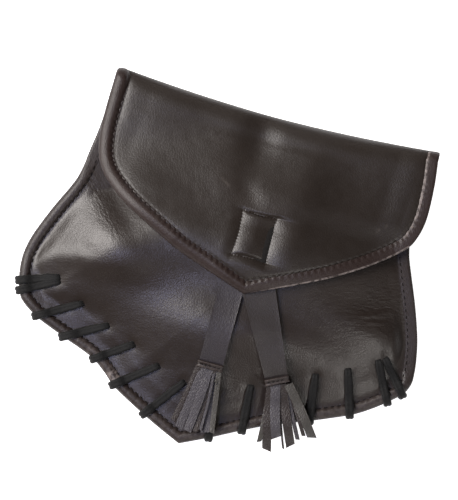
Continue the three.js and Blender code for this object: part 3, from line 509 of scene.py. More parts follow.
class NodeTree:
    """Nodes of a material or the world, whose inputs are plain values or other nodes' outputs."""

    def __init__(self, owner):
        owner.use_nodes = True
        self.tree = owner.node_tree

    def fill(self, node, inputs):
        for key, value in inputs.items():
            if isinstance(value, bpy.types.NodeSocket):
                self.tree.links.new(value, node.inputs[key])
            else:
                node.inputs[key].default_value = value

    def close(self, name, inputs):
        """Fills the inputs of the tree's own shader."""
        self.fill(self.tree.nodes[name], inputs)

    def add(self, kind, output, inputs=None, **settings):
        """Adds a node and gives one of its outputs."""
        node = self.tree.nodes.new("ShaderNode" + kind)
        for key, value in settings.items():
            setattr(node, key, value)
        self.fill(node, inputs or {})
        return node.outputs[output]

    def noise(self, where, scale, detail, roughness=0.55):
        inputs = {"Vector": where, "Scale": scale, "Detail": detail, "Roughness": roughness}
        return self.add("TexNoise", "Fac", inputs)

    def ranged(self, value, low, high, from_low=0.3, from_high=0.7):
        inputs = {"Value": value, "From Min": from_low, "From Max": from_high, "To Min": low, "To Max": high}
        return self.add("MapRange", "Result", inputs)

    def mixed(self, factor, first, second):
        """Mix of two colours, each a fixed one or another node's."""
        first, second = ((*c, 1) if isinstance(c, tuple) else c for c in (first, second))
        inputs = {"Factor": factor, MIX_FIRST: first, MIX_SECOND: second}
        return self.add("Mix", MIX_RESULT, inputs, data_type="RGBA")

    def times(self, first, second):
        return self.add("Math", "Value", {0: first, 1: second}, operation="MULTIPLY")

    def attribute(self, name):
        return self.add("Attribute", "Fac", attribute_name=name)

    def bumped(self, height, strength, distance, under=None):
        inputs = {"Height": height, "Strength": strength, "Distance": distance}
        if under is not None:
            inputs["Normal"] = under
        return self.add("Bump", "Normal", inputs)


# Fine wrinkles: the mesh attribute that says where they are, and the way they run
WRINKLES = {"crinkle": -48, "ripple": 12}
ROUGHNESS_SWING = 0.03
CELL_WARP = (0.0009, 0.0009, 0.0009)
CELL_STRETCH = (1, 0.7, 1)
WRINKLE_STRETCH = (3.5, 1, 1)
# Pale colour that the suede takes where a highlight is painted on it
SUEDE_HIGHLIGHT_COLOUR = (0.05, 0.036, 0.032)


def leather(name, dark, light, scuffed_and_lit_colour, roughness, specular, grain, crease):
    """Coated leather: mottled colour, a pebbled grain, fine creases, and a paler colour at scuffs and at
    painted highlights.
    """
    material = bpy.data.materials.new(name)
    tree = NodeTree(material)
    where = tree.add("TexCoord", "Object")
    mottle = tree.ranged(tree.noise(where, 38, 5), 0, 1)
    patchy = tree.ranged(tree.noise(where, 420, 5), 0, 1, 0.36, 0.62)
    # Share of the paler colour: real scuffs and scratches, and highlights painted along the bindings
    scuffed_and_lit = tree.times(tree.attribute("wear"), patchy)
    uneven = tree.noise(where, 160, 6, 0.65)
    warp = {0: tree.noise(where, 700, 2, 0.5), 1: CELL_WARP, 2: where}
    warped = tree.add("VectorMath", "Vector", warp, operation="MULTIPLY_ADD")
    stretched = tree.add("Mapping", "Vector", {"Vector": warped, "Scale": CELL_STRETCH})
    pattern = {"Vector": stretched, "Scale": 820}
    cells = tree.add("TexVoronoi", "Distance", pattern, feature="DISTANCE_TO_EDGE")
    normal = tree.bumped(tree.ranged(cells, 0, 1, 0, 0.22), grain, 0.0003)
    normal = tree.bumped(tree.noise(where, 260, 8, 0.7), crease, 0.0006, normal)
    for attribute, turn in WRINKLES.items():
        pull = {"Vector": where, "Rotation": (0, 0, math.radians(turn)), "Scale": WRINKLE_STRETCH}
        pulled = tree.add("Mapping", "Vector", pull, vector_type="TEXTURE")
        wrinkles = tree.times(tree.noise(pulled, 640, 2, 0.5), tree.attribute(attribute))
        normal = tree.bumped(wrinkles, 0.5, 0.001, normal)
    tree.close("Principled BSDF", {
        "Base Color": tree.mixed(scuffed_and_lit, tree.mixed(mottle, dark, light), scuffed_and_lit_colour),
        "Roughness": tree.ranged(uneven, roughness - ROUGHNESS_SWING, roughness + ROUGHNESS_SWING),
        "Specular IOR Level": specular,
        "Normal": normal,
    })
    return material


def suede(name, dark, light, roughness):
    """Matt nap for the lace, the patch and the thread, paler where a highlight is painted on it."""
    material = bpy.data.materials.new(name)
    tree = NodeTree(material)
    nap = tree.noise(tree.add("TexCoord", "Object"), 900, 6, 0.7)
    colour = tree.mixed(tree.ranged(nap, 0, 1), dark, light)
    tree.close("Principled BSDF", {
        "Base Color": tree.mixed(tree.attribute("wear"), colour, SUEDE_HIGHLIGHT_COLOUR),
        "Roughness": roughness,
        "Specular IOR Level": 0.2,
        "Sheen Weight": 0.06,
        "Sheen Roughness": 0.5,
        "Normal": tree.bumped(nap, 0.5, 0.0006),
    })
    return material


# Leathers: dark and light of the mottle, colour of scuffs and painted highlights, roughness, specular level,
# grain and creases
LEATHERS = {
    "panel_leather": (
        (0.0137, 0.0095, 0.007), (0.0176, 0.0126, 0.0096), (0.06, 0.05, 0.043), 0.41, 0.5, 0.14, 0.05),
    "front_leather": (
        (0.0132, 0.0088, 0.0067), (0.0172, 0.0117, 0.0091), (0.06, 0.048, 0.042), 0.37, 0.5, 0.12, 0.045),
    "binding_leather": (
        (0.016, 0.0086, 0.0069), (0.021, 0.012, 0.0098), (0.21, 0.176, 0.162), 0.46, 0.4, 0.2, 0.06),
    "edge_leather": (
        (0.014, 0.0088, 0.0074), (0.0185, 0.0122, 0.0104), (0.21, 0.176, 0.162), 0.46, 0.45, 0.2, 0.06),
    "strap_leather": (
        (0.0192, 0.0155, 0.0178), (0.0242, 0.0198, 0.023), (0.05, 0.043, 0.04), 0.46, 0.5, 0.22, 0.045),
    "strap_brown": (
        (0.016, 0.0105, 0.009), (0.021, 0.0145, 0.0125), (0.05, 0.04, 0.035), 0.5, 0.45, 0.45, 0.06),
    "strap_pale": (
        (0.036, 0.033, 0.028), (0.05, 0.046, 0.04), (0.09, 0.08, 0.07), 0.5, 0.45, 0.45, 0.06),
    "strap_bluish": (
        (0.038, 0.034, 0.0395), (0.05, 0.0455, 0.052), (0.08, 0.073, 0.078), 0.5, 0.45, 0.5, 0.06),
    "strap_warm": (
        (0.0175, 0.0135, 0.0125), (0.0215, 0.017, 0.0158), (0.045, 0.038, 0.034), 0.46, 0.5, 0.17, 0.04),
    "band_leather": (
        (0.014, 0.0085, 0.0072), (0.022, 0.0145, 0.0125), (0.08, 0.062, 0.055), 0.5, 0.45, 0.2, 0.06),
}

# Matt ones: dark and light of the nap, roughness
SUEDES = {
    "lace_suede": ((0.002, 0.002, 0.002), (0.0085, 0.0085, 0.0083), 0.66),
    "patch_pile": ((0.006, 0.0055, 0.005), (0.014, 0.013, 0.012), 0.95),
    "thread": ((0.004, 0.003, 0.0026), (0.008, 0.006, 0.0052), 0.95),
}
MATERIALS = {name: leather(name, *row) for name, row in LEATHERS.items()}
MATERIALS.update({name: suede(name, *row) for name, row in SUEDES.items()})


# Meshes

def new_piece(name, solid, material, slot, replaces=(), **attributes):
    """Makes a piece from points in millimetres, smooth but for its sharp edges, and hangs it on the bag."""
    points, faces = solid
    mesh = bpy.data.meshes.new(name)
    mesh.from_pydata((points * MM).tolist(), [], faces)
    mesh.shade_smooth()
    mesh.set_sharp_from_angle(angle=math.radians(50))
    mesh.materials.append(MATERIALS[material])
    for key, values in {"wear": np.zeros(len(points)), **attributes}.items():
        layer = mesh.attributes.new(key, "FLOAT", "POINT")
        layer.data.foreach_set("value", np.asarray(values, np.float32).ravel())
    mesh.validate()
    piece = bpy.data.objects.new(name, mesh)
    bpy.context.collection.objects.link(piece)
    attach(piece, "root")
    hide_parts(*replaces)
    return piece


def numbered(grid, start=0):
    """Numbers of a grid's points."""
    rows, columns = grid.shape[:2]
    return start + np.arange(rows * columns).reshape(rows, columns)


def grid_faces(ids, ringed):
    """Quads of a numbered grid, row by row, and round each row where the rows are rings."""
    if ringed:
        ids = np.hstack([ids, ids[:, :1]])
    quads = np.stack([ids[:-1, :-1], ids[:-1, 1:], ids[1:, 1:], ids[1:, :-1]], axis=-1)
    return quads.reshape(-1, 4).tolist()


def edge_loop(ids):
    """Numbers of a grid's outer points, in order round it."""
    return np.concatenate([ids[0, :-1], ids[:-1, -1], ids[-1, :0:-1], ids[:0:-1, 0]])


def wall(outer, inner, ringed=False):
    """Closed wall between a fine grid of points and a coarser one that skips the same number each way."""
    fine = numbered(outer)
    coarse = numbered(inner, fine.size)
    faces = grid_faces(fine, ringed) + [face[::-1] for face in grid_faces(coarse, ringed)]
    fine_loop, coarse_loop = [ids[0] if ringed else edge_loop(ids) for ids in (fine, coarse)]
    skip = len(fine_loop) // len(coarse_loop)
    for i, corners in enumerate(zip(coarse_loop.tolist(), np.roll(coarse_loop, -1).tolist())):
        between = np.take(fine_loop, np.arange(i * skip, (i + 1) * skip + 1), mode="wrap")
        faces.append([*between[::-1].tolist(), *corners])
    if ringed:
        faces += [fine[-1].tolist(), coarse[-1, ::-1].tolist()]
    return np.vstack([outer.reshape(-1, 3), inner.reshape(-1, 3)]), faces


def tube(rings):
    """Closed solid through rings of points."""
    ids = numbered(rings)
    return rings.reshape(-1, 3), [*grid_faces(ids, True), ids[0, ::-1].tolist(), ids[-1].tolist()]


def swept(path, side, normal, across, up):
    """Rings of points round a path, each given by how far it lies to the side and up."""
    return path[:, None] + side[:, None] * across[..., None] + normal[:, None] * up[..., None]


def ring_places(count, wide_power=1.0, tall_power=1.0):
    """Places round a section, across and up: a circle, and boxier the smaller the powers are."""
    turns = np.linspace(0, 2 * math.pi, count, endpoint=False)
    c, s = np.cos(turns), np.sin(turns)
    return np.sign(c) * np.abs(c) ** wide_power, np.sign(s) * np.abs(s) ** tall_power


def joined(parts):
    """Points and faces of several solids as one mesh."""
    points, faces, start = [], [], 0
    for part_points, part_faces in parts:
        points.append(part_points)
        faces += [[start + i for i in face] for face in part_faces]
        start += len(part_points)
    return np.vstack(points), faces


def stitch_bodies(path, normals, pitch=STITCH_PITCH, length=STITCH_LENGTH, width=STITCH_WIDTH):
    """Threads laid along a path, each sunk at both ends."""
    along = lengths_along(path)
    normals = np.broadcast_to(normals, path.shape)
    t = np.linspace(0, 1, STITCH_STATIONS)
    arch = np.sqrt(np.clip(1 - (2 * t - 1) ** 4, 0, 1))
    thick = (0.5 * width * np.maximum(arch, 0.35))[:, None]
    rise = (0.55 * width * (arch - 0.75))[:, None]
    wide, tall = ring_places(STITCH_SIDES)
    parts = []
    for k in range(int(along[-1] / pitch)):
        at = (k + 0.5) * pitch + (t - 0.5) * length
        middle = values_at(path, along, at)
        normal = unit(values_at(normals, along, at))
        side = unit(np.cross(np.gradient(middle, axis=0), normal))
        parts.append(tube(swept(middle + normal * rise, side, normal, thick * wide, 0.8 * thick * tall)))
    return joined(parts)


# Panels

FINE_REACH, FINE_SHARES = 15.0, (0.34, 0.66)
BACK_FOOT, BACK_END, FLAP_START = -91.5, 70.0, 72.0
RIM_ROW = 80.0
SCRATCH_WEAR, SCRATCH_WIDTH = 0.7, 0.8


def scuffs(x, y):
    """Share of scuffed leather at the few scratches on the flap."""
    distances = [nearest_on(np.array(ends, float), x, y)[0] for ends in FLAP_SCRATCHES]
    return SCRATCH_WEAR * bump(np.min(distances, axis=0), 0, SCRATCH_WIDTH)


def build_back_and_flap():
    """One sheet from the bottom tip up the back, over the top and down to the flap's tip."""
    skip = 4
    side_shares = np.linspace(0, 1, 81)
    middle_shares = side_shares[1:-1]
    back_edges = inset_line(body_outline, SHEET_INSET)
    flap_edges = inset_line(flap_outline, SHEET_INSET)

    def across(line, y):
        """Places across the sheet, with the finest ones where the stitched box is."""
        half = len(line) // 2
        left, right = line[:half], line[half + 1:]
        low = np.interp(-y, -left[:, 1], left[:, 0])
        high = np.interp(y, right[:, 1], right[:, 0])
        from_x = max(BOX_X - FINE_REACH, lerp(low, high, FINE_SHARES[0]))
        to_x = min(BOX_X + FINE_REACH, lerp(low, high, FINE_SHARES[1]))
        return np.concatenate([
            lerp(low, from_x, side_shares),
            lerp(from_x, to_x, middle_shares),
            lerp(to_x, high, side_shares),
        ])

    outer, inner = [], []

    def add(x, y, z, normal_y, normal_z):
        outer.append(np.stack(np.broadcast_arrays(x, y, z), axis=1))
        inner.append(outer[-1] - WALL * np.array([0, normal_y, normal_z]))

    fold_x = across(back_edges, FOLD_ROW)
    reach, fold_z, fold_radius = top_fold(fold_x)
    rim_rise = seam_relief(nearest_on(flap_outline, fold_x, RIM_ROW)[0], 0, fold_x, MOUTH_Y)
    for y in np.linspace(BACK_FOOT, BACK_END, 73):
        x = across(back_edges, y)
        add(x, y, back_height(x, y) + back_swells(x, y), 0, -1)
    for share in np.linspace(0, 1, 8)[1:-1]:
        y = lerp(BACK_END, reach - fold_radius, share)
        x = lerp(across(back_edges, BACK_END), fold_x, share)
        add(x, y, lerp(back_height(x, y), fold_z - fold_radius, share), 0, -1)
    for turn in np.radians(np.linspace(-90, 90, 25)):
        c, s = math.cos(turn), math.sin(turn)
        run = FOLD_RUN if s > 0 else fold_radius
        z = fold_z + fold_radius * s + rim_rise * max(s, 0)
        add(fold_x, reach - run * (1 - c), z, c, s)
    for share in np.linspace(0, 1, 10)[1:-1]:
        y = lerp(reach - FOLD_RUN, FLAP_START, share)
        x = lerp(fold_x, across(flap_edges, FLAP_START), share)
        z = lerp(fold_z + fold_radius + rim_rise, flap_surface(x, y), smoothstep(share, 0, 1))
        add(x, y, z, 0, 1)
    fine_top, fine_end = BOX_Y + FINE_REACH + 3, BOX_Y - FINE_REACH - 3
    for y in stepped([FLAP_START, fine_top, fine_end, FLAP_TIP_Y + 4.0], [35, 84, 14]):
        x = across(flap_edges, y)
        add(x, y, flap_surface(x, y), 0, 1)
    spare = (len(outer) - 1) % skip
    sheet = wall(np.array(outer)[spare:], np.array(inner)[spare::skip, ::skip])
    x, y, z = sheet[0].T
    return new_piece(
        "back_and_flap", sheet, "panel_leather", "panel_leather", ["back_and_flap"],
        wear=scuffs(x, y) * (z > SEAM_MID + LIFT))


# Where the front is drawn into fine wrinkles: along the hollow by the left waist and at the right corner
WAIST_CREASE = np.array([(-87.0, 32.0), (-64.0, 5.6)])


def wrinkled_shares(x, y):
    return dict(
        crinkle=0.55 * bump(nearest_on(WAIST_CREASE, x, y)[0], 0, 5),
        ripple=0.8 * bump(x, 82, 20) * bump(y, 3, 15) + 0.07,
    )


def build_front_panel():
    """Rings from the panel's edge to its middle, and a coarser inner face."""
    count, rings, skip = 640, 97, 4
    centre = np.array([0.0, -12.0])
    edge = inset_line(body_outline, SHEET_INSET)
    edge = edge[edge[:, 1] <= MOUTH_Y]
    around = respaced(np.vstack([edge, edge[:1]]), 0.1)[:-1]
    boundary = around[np.linspace(0, len(around), count, endpoint=False).astype(int)]
    shares = np.linspace(0, 0.985, rings)
    flat = lerp(boundary[None], centre[None, None], shares[:, None, None])
    outer = np.dstack([flat, front_height(flat[..., 0], flat[..., 1])])
    panel = wall(outer, outer[::skip, ::skip] - WALL * UP, ringed=True)
    x, y, _ = panel[0].T
    return new_piece(
        "front_panel", panel, "front_leather", "panel_leather", ["front_panel"], **wrinkled_shares(x, y))


# Bindings

ROLL_MIDDLE = 3.4
ROLL_TILT = 1.3
ROUND_POWER, FLAT_POWER = 2.1, 4.5
TOP_SINK = {LEFT: 2.3, RIGHT: 1.5}
CREASE_EVERY = 7

# Each binding: half its thickness at the crest and at the panel, how far its lip stands over the panel, the
# crest's share and the lip's height where it is pressed flat, the depth of its creases and of its stitch
# pits there, how far its threads are sunk, and a seed
BODY_ROLL = dict(
    crest=3.05, panel=1.55, lip=-0.2, flat_crest=0.62, flat_lip=0.25, pinch=0.14, pit=0.0, sunk=0.1, seed=17)
FLAP_ROLL = dict(
    crest=2.5, panel=0.45, lip=-0.4, flat_crest=0.6, flat_lip=0.6, pinch=0.06, pit=0.26, sunk=0.62, seed=29)


def binding_top(inset, crest, lip, power):
    """Height of a binding's upper face over its middle, by distance from its outer edge."""
    outer = np.clip((ROLL_MIDDLE - inset) / ROLL_MIDDLE, 0, 1)
    inner = np.clip((inset - ROLL_MIDDLE) / (BINDING_WIDTH - ROLL_MIDDLE), 0, 1)
    return np.where(
        inset < ROLL_MIDDLE,
        crest * (1 - outer**power) ** (1 / power),
        lip + (crest - lip) * (1 - inner**power),
    )


def creases(seed, along, depth):
    """Seeded pinches across a strip: how much lower it lies at each place."""
    draw = np.random.default_rng(seed)
    total = np.zeros(along.shape)
    for _ in range(int(along[-1] / CREASE_EVERY)):
        place, width = draw.uniform(0, along[-1]), draw.uniform(0.45, 1.1)
        total = np.maximum(total, draw.uniform(0.2, 1) * depth * bump(along, place, width))
    return total


def build_binding(name, edge, inner, roll, material, flat, wear):
    """Sweeps a folded strip along its outer edge, rolled or pressed flat, with stitches along its lip."""
    crest, panel = roll["crest"], roll["panel"]
    along = lengths_along(edge)
    inward = inner - edge
    normal = unit(np.cross(unit(np.gradient(edge, axis=0)), inward))
    flat = flat[:, None]
    draw = np.random.default_rng(roll["seed"])
    sway = np.interp(along, np.linspace(0, along[-1], 60), draw.normal(1, 0.03, 60))
    crests = crest * lerp(1, roll["flat_crest"], flat) * sway[:, None]
    lips = panel + lerp(roll["lip"], roll["flat_lip"], flat)
    powers = lerp(ROUND_POWER, FLAT_POWER, flat)
    turns = np.linspace(0, math.pi / 2, 10)
    insets = np.concatenate([
        ROLL_MIDDLE * (1 - np.cos(turns)),
        ROLL_MIDDLE + (BINDING_WIDTH - ROLL_MIDDLE) * np.sin(turns[1:]),
    ])[None]
    upper = binding_top(insets, crests, lips, powers)
    pits = stitch_pits(along[:, None])
    seats = BINDING_WIDTH - lerp(0.35, 1.2, flat)
    pinch = creases(roll["seed"], along, roll["pinch"])[:, None]
    pressed = lerp(0.3, roll["pit"], flat) * pits * bump(insets, seats, 1.0)
    upper = upper - pressed - pinch * np.clip(upper / crest, 0, 1)
    shifted = insets - lerp(0.4, 0.2, flat) * pits * smoothstep(insets, BINDING_WIDTH - 2, BINDING_WIDTH)
    inside = np.array([(BINDING_WIDTH - 0.3, panel), (1.2, 0.9 * panel)])
    across = np.hstack([shifted, np.broadcast_to(inside[:, 0], (len(edge), 2))])
    heights = np.hstack([upper, np.broadcast_to(inside[:, 1], (len(edge), 2))])
    across = np.hstack([across, across[:, :0:-1]])
    heights = np.hstack([heights, -heights[:, :0:-1]])
    # Paler crest, nose and lip: scuffed streaks on the crest, and painted highlights along the crest, the
    # outer nose and the inner lip
    crown, nose, lip = wear
    on_nose = (across < 0.9) & (np.abs(heights) < 0.8 * crest)
    on_lip = (across > BINDING_WIDTH - 1.4) & (heights > 0)
    on_crown = smoothstep(heights / crest, 0.2, 0.9)
    scuffed_and_lit = crown[:, None] * on_crown + nose[:, None] * on_nose + lip[:, None] * on_lip
    strip = tube(swept(edge, inward, normal, across / BINDING_WIDTH, heights))
    new_piece(name, strip, material, "binding_leather", [name], wear=scuffed_and_lit)
    path = edge + inward * (seats / BINDING_WIDTH)
    path = path + normal * (binding_top(seats, crests, lips, powers) - roll["sunk"])
    threads = stitch_bodies(path, normal)
    each = STITCH_STATIONS * STITCH_SIDES
    middles = (np.arange(len(threads[0]) // each) + 0.5) * STITCH_PITCH
    # Threads along the inner lip share its painted highlight, paler
    pale = np.repeat(0.3 * np.interp(middles, lengths_along(path), lip), each)
    new_piece(f"{name}_stitches", threads, "thread", "binding_leather", wear=pale)


def body_seam(line):
    return np.column_stack([line, lift(line[:, 1]) + SEAM_MID])


def build_body_binding():
    line = respaced(body_outline[body_outline[:, 1] <= MOUTH_Y + 1.5], 0.6)
    inner = inset_line(line, BINDING_WIDTH)
    x, y = line.T
    flat = np.maximum(smoothstep(x, 84, 92) * smoothstep(y, -34, -22), smoothstep(y, 28, 44))
    # Paler crest along the bottom: scuffed streaks near x -60 and x -48, and a painted highlight along the
    # crest from x -44 rightwards
    crown = 0.2 * bump(x, -60, 12) + 0.9 * bump(x, -48, 3.0) + 0.12 * smoothstep(x, -44, -20)
    none = np.zeros(len(line))
    wear = crown * (y < -40), none, none
    build_binding("body_binding", body_seam(line), body_seam(inner), BODY_ROLL, "edge_leather", flat, wear)


def build_flap_binding():
    line = respaced(flap_outline[flap_outline[:, 1] <= MOUTH_Y], 0.6)
    width = BINDING_WIDTH + LEFT_WIDER * left_share(line[:, 0])
    inner = line + (inset_line(line, BINDING_WIDTH) - line) * (width / BINDING_WIDTH)[:, None]
    rolled = (1 - smoothstep(line[:, :1], 2, 26)) * (ROLL_TILT * UP)

    def on_flap(points):
        x, y = points.T
        return np.column_stack([points, flap_height(x, y) - WALL / 2])

    def over_top(column, inward):
        """Stations from the back's foot over the fold, at the outer edge or one width further in."""
        rows = np.linspace(80.6, 84, 6)
        x = section(BODY_SECTIONS, column, rows) + inward
        foot = np.column_stack([x, rows, back_height(x, rows) + WALL / 2])
        end = section(BODY_SECTIONS, column, np.array([FOLD_ROW])) + inward
        reach, fold_z, radius = (value[0] for value in top_fold(end))
        turns = np.radians(np.linspace(-90, 90, 25))
        r = radius - WALL / 2
        bend_y = reach - TOP_SINK[column] - r * (1 - np.cos(turns))
        bend = np.column_stack([np.full(25, end[0]), bend_y, fold_z + r * np.sin(turns)])
        return np.vstack([foot, bend])

    left, right = [
        [over_top(column, inward) for inward in (0, step)]
        for column, step in ((LEFT, BINDING_WIDTH + LEFT_WIDER), (RIGHT, -BINDING_WIDTH))
    ]
    edge = np.vstack([left[0], on_flap(line) - 0.75 * rolled, right[0][::-1]])
    inside = np.vstack([left[1], on_flap(inner) + 0.25 * rolled, right[1][::-1]])
    x, y = edge[:, 0], edge[:, 1]
    on_right = smoothstep(x, 10, 30)
    lower_right = on_right * (y < 42)
    lower_left = (1 - on_right) * (1 - smoothstep(y, 20, 44))
    # Painted highlights: a faint sheen on the crest at the lower corners, a pale line along the lower right
    # outer edge and one along the right inner lip
    lip = smoothstep(x, 10, 40) * 0.8 * smoothstep(y, 36, 48)
    wear = 0.05 * lower_right + 0.025 * lower_left, lower_right, lip
    build_binding("flap_binding", edge, inside, FLAP_ROLL, "binding_leather", smoothstep(x, 6, 32), wear)


BOX_THREAD_LENGTH, BOX_THREAD_WIDTH, BOX_THREAD_SUNK = 1.3, 0.36, 0.34


def build_box_stitches():
    """Threads in the seam round the box on the flap."""
    u, v = BOX_WIDTH / 2, BOX_HEIGHT / 2
    corners = [(-u, v), (u, v), (u, -v), (-u, -v)]
    t = np.linspace(0.02, 0.98, 40)
    bow = BOX_BOW * (1 - (2 * t - 1) ** 2)
    parts = []
    for (ax, ay), (bx, by) in zip(corners, corners[1:] + corners[:1]):
        x, y = lerp(ax, bx, t), lerp(ay, by, t)
        x = x - np.sign(x) * bow * (ax == bx) + BOX_X
        y = y - np.sign(y) * bow * (ay == by) + BOX_Y
        path = np.column_stack([x, y, flap_surface(x, y) - BOX_THREAD_SUNK])
        parts.append(stitch_bodies(path, UP, BOX_PITCH, BOX_THREAD_LENGTH, BOX_THREAD_WIDTH))
    new_piece("box_stitches", joined(parts), "thread", "panel_leather")


# Lacing: room above and below the bag, the binding's lip, stations, and the groove along the lace
LACE_CLEAR, BACK_CLEAR = 0.15, 0.1
LACE_LIP = 1.65
LACE_STEP, LACE_NEAREST = 0.55, 0.25
HOLE_DROPS, HOLE_RISES = (5.0, 3.4, 1.8, 0.7), (0.9, 2.2)
EDGE_TURNS = np.radians((62, 35, 8, -20, -48, -76))
GROOVE_DEPTH, GROOVE_WIDTH = 0.34, 0.32
LOWEST_LACE = 0.05

# Shares of the lace's width out of a hole, along a strand, round the edge, under the back and into a hole
GIRTHS = dict(out=0.86, strand=(0.9, 1.06), edge=1.08, back=0.9, into=0.7)


def build_lace():
    """One flat lace, whipped over the bottom edge: out of each hole, round the edge and to the next hole."""
    half = LACE_RISE / 2
    crest = BODY_ROLL["crest"]
    line = respaced(body_outline[body_outline[:, 1] <= MOUTH_Y], 0.5)
    inner = inset_line(line, 1.0)
    stations = []

    def add(points, way, girth):
        """Stations with the lace's place, the direction across it and how wide it is there."""
        side = unit(np.array([-way[1], way[0], 0.0]))
        for point, share in zip(points, np.broadcast_to(girth, len(points))):
            stations.append([*point, *side, share])

    def over_front(flat):
        x, y = flat.T
        inset = edge_distance(x, y)
        on_binding = lift(y) + SEAM_MID + binding_top(inset, crest, LACE_LIP, ROUND_POWER)
        under = np.maximum(front_height(x, y), np.where(inset < BINDING_WIDTH, on_binding, 0))
        return under + half + LACE_CLEAR

    def under_back(flat):
        x, y = flat.T
        return np.minimum(lift(y) + SEAM_MID - crest, back_height(x, y)) - half - BACK_CLEAR

    for i, (hole_x, hole_y, edge_x, edge_y) in enumerate(LACE_STITCHES):
        hole, want = np.array([hole_x, hole_y]), np.array([edge_x, edge_y])
        nearest = np.argmin(np.hypot(*(line - want).T))
        foot, outward = line[nearest], unit(line[nearest] - inner[nearest])
        way = unit(foot - hole)
        turning = way / max(way @ outward, 0.6)
        shares = np.linspace(0, 1, 15)
        flat = hole + (foot - hole) * shares[:, None] * (1 - 1.6 / np.hypot(*(foot - hole)))
        top = over_front(flat)
        add([(*(hole - way * 0.9), top[0] - drop) for drop in HOLE_DROPS], way, GIRTHS["out"])
        add(np.column_stack([flat, top])[1:], way, lerp(*GIRTHS["strand"], smoothstep(shares, 0, 0.3))[1:])
        seam = lift(foot[1]) + SEAM_MID
        for turn in EDGE_TURNS:
            out = (ROLL_MIDDLE + half + LACE_CLEAR) * math.cos(turn) - ROLL_MIDDLE
            z = seam + (crest + half + BACK_CLEAR) * math.sin(turn)
            add([(*(foot + turning * out), z)], way, GIRTHS["edge"])
        last = i + 1 == len(LACE_STITCHES)
        target = hole if last else LACE_STITCHES[i + 1, :2]
        flat = lerp(foot[None], target[None], np.linspace(0.2, 0.6 if last else 0.97, 12)[:, None])
        add(np.column_stack([flat, under_back(flat)]), foot - target, GIRTHS["back"])
        if not last:
            low = under_back(target[None])[0]
            add([(*target, low + rise) for rise in HOLE_RISES], foot - target, GIRTHS["into"])
    stations = np.array(stations)
    moved = np.linalg.norm(np.diff(stations[:, :3], axis=0), axis=1) > LACE_NEAREST
    stations = stations[np.concatenate([[True], moved])]
    along = lengths_along(stations[:, :3])
    want = np.linspace(0, along[-1], int(along[-1] / LACE_STEP))
    stations = values_at(stations, along, want)
    frames, girth = stations[:, :6], stations[:, 6]
    for _ in range(5):
        frames[1:-1] = (frames[:-2] + 2 * frames[1:-1] + frames[2:]) / 4
    path, across = frames[:, :3], frames[:, 3:]
    forward = unit(np.gradient(path, axis=0))
    across = unit(across - forward * np.sum(across * forward, axis=1, keepdims=True))
    normal = unit(np.cross(forward, across))
    wide, tall = ring_places(20, 0.95, 0.95)
    tall = tall * (1 - GROOVE_DEPTH * bump(wide, 0, GROOVE_WIDTH))
    draw = np.random.default_rng(61)
    wander = girth * np.interp(want, np.linspace(0, want[-1], 260), draw.normal(1, 0.05, 260))
    widths = LACE_WIDTH / 2 * wander[:, None] * wide
    rings = swept(path, across, normal, widths, half * np.sqrt(girth)[:, None] * tall)
    rings[..., 2] = np.maximum(rings[..., 2], LOWEST_LACE)
    new_piece("lace", tube(rings), "lace_suede", "lace_cord", ["lace"])


# Straps and tassels

def strap_frame(row):
    top, end = np.array(row["top"], float), np.array(row["end"], float)
    down = unit(end - top)
    return top, end, down, np.array([-down[1], down[0]])


def build_strap(name, row):
    """A flat strap with cut edges that lies on the front."""
    top, end, _, across = strap_frame(row)
    t = np.linspace(0, 1, 121)[:, None]
    share = np.linspace(-0.5, 0.5, 21)[None]
    width = lerp(*row["widths"], t)
    middle_y = lerp(top[1], end[1], t)
    x = lerp(top[0], end[0], t) + across[0] * share * width
    y = middle_y + across[1] * share * width
    stacked = row["level"] * (STRAP_WALL + GAP) * smoothstep(middle_y, *STRAP_CROSSING)
    raised = row["rise"] * (1 - smoothstep(middle_y, end[1], end[1] + STRAP_END_RUN))
    under = front_height(x, y)
    under = lerp(under, under.mean(axis=1, keepdims=True), 0.3) + STRAP_CLEAR + stacked + raised
    under = under + 0.2 * (2 * share) ** 4 + 0.5 * fine_swells(x * 0.6, y * 0.6)
    lower = np.stack([x, y, under], axis=-1)
    edge = np.broadcast_to(smoothstep(np.abs(2 * share), 0.95, 1.0) * 0.25, x.shape).ravel()
    new_piece(
        f"strap_{name}", wall(lower + STRAP_WALL * UP, lower), row["material"], "strap_leather",
        [f"strap_{name}"], wear=np.tile(edge, 2))


FRINGE_OVER = 3.9
FRINGE_END = 2.2
FRINGE_DROP = 16.0
STRIP_WALL, STRIP_GAP = 0.8, 0.1
HEAD_OVER = 2.2
HEAD_HALF = 1.5

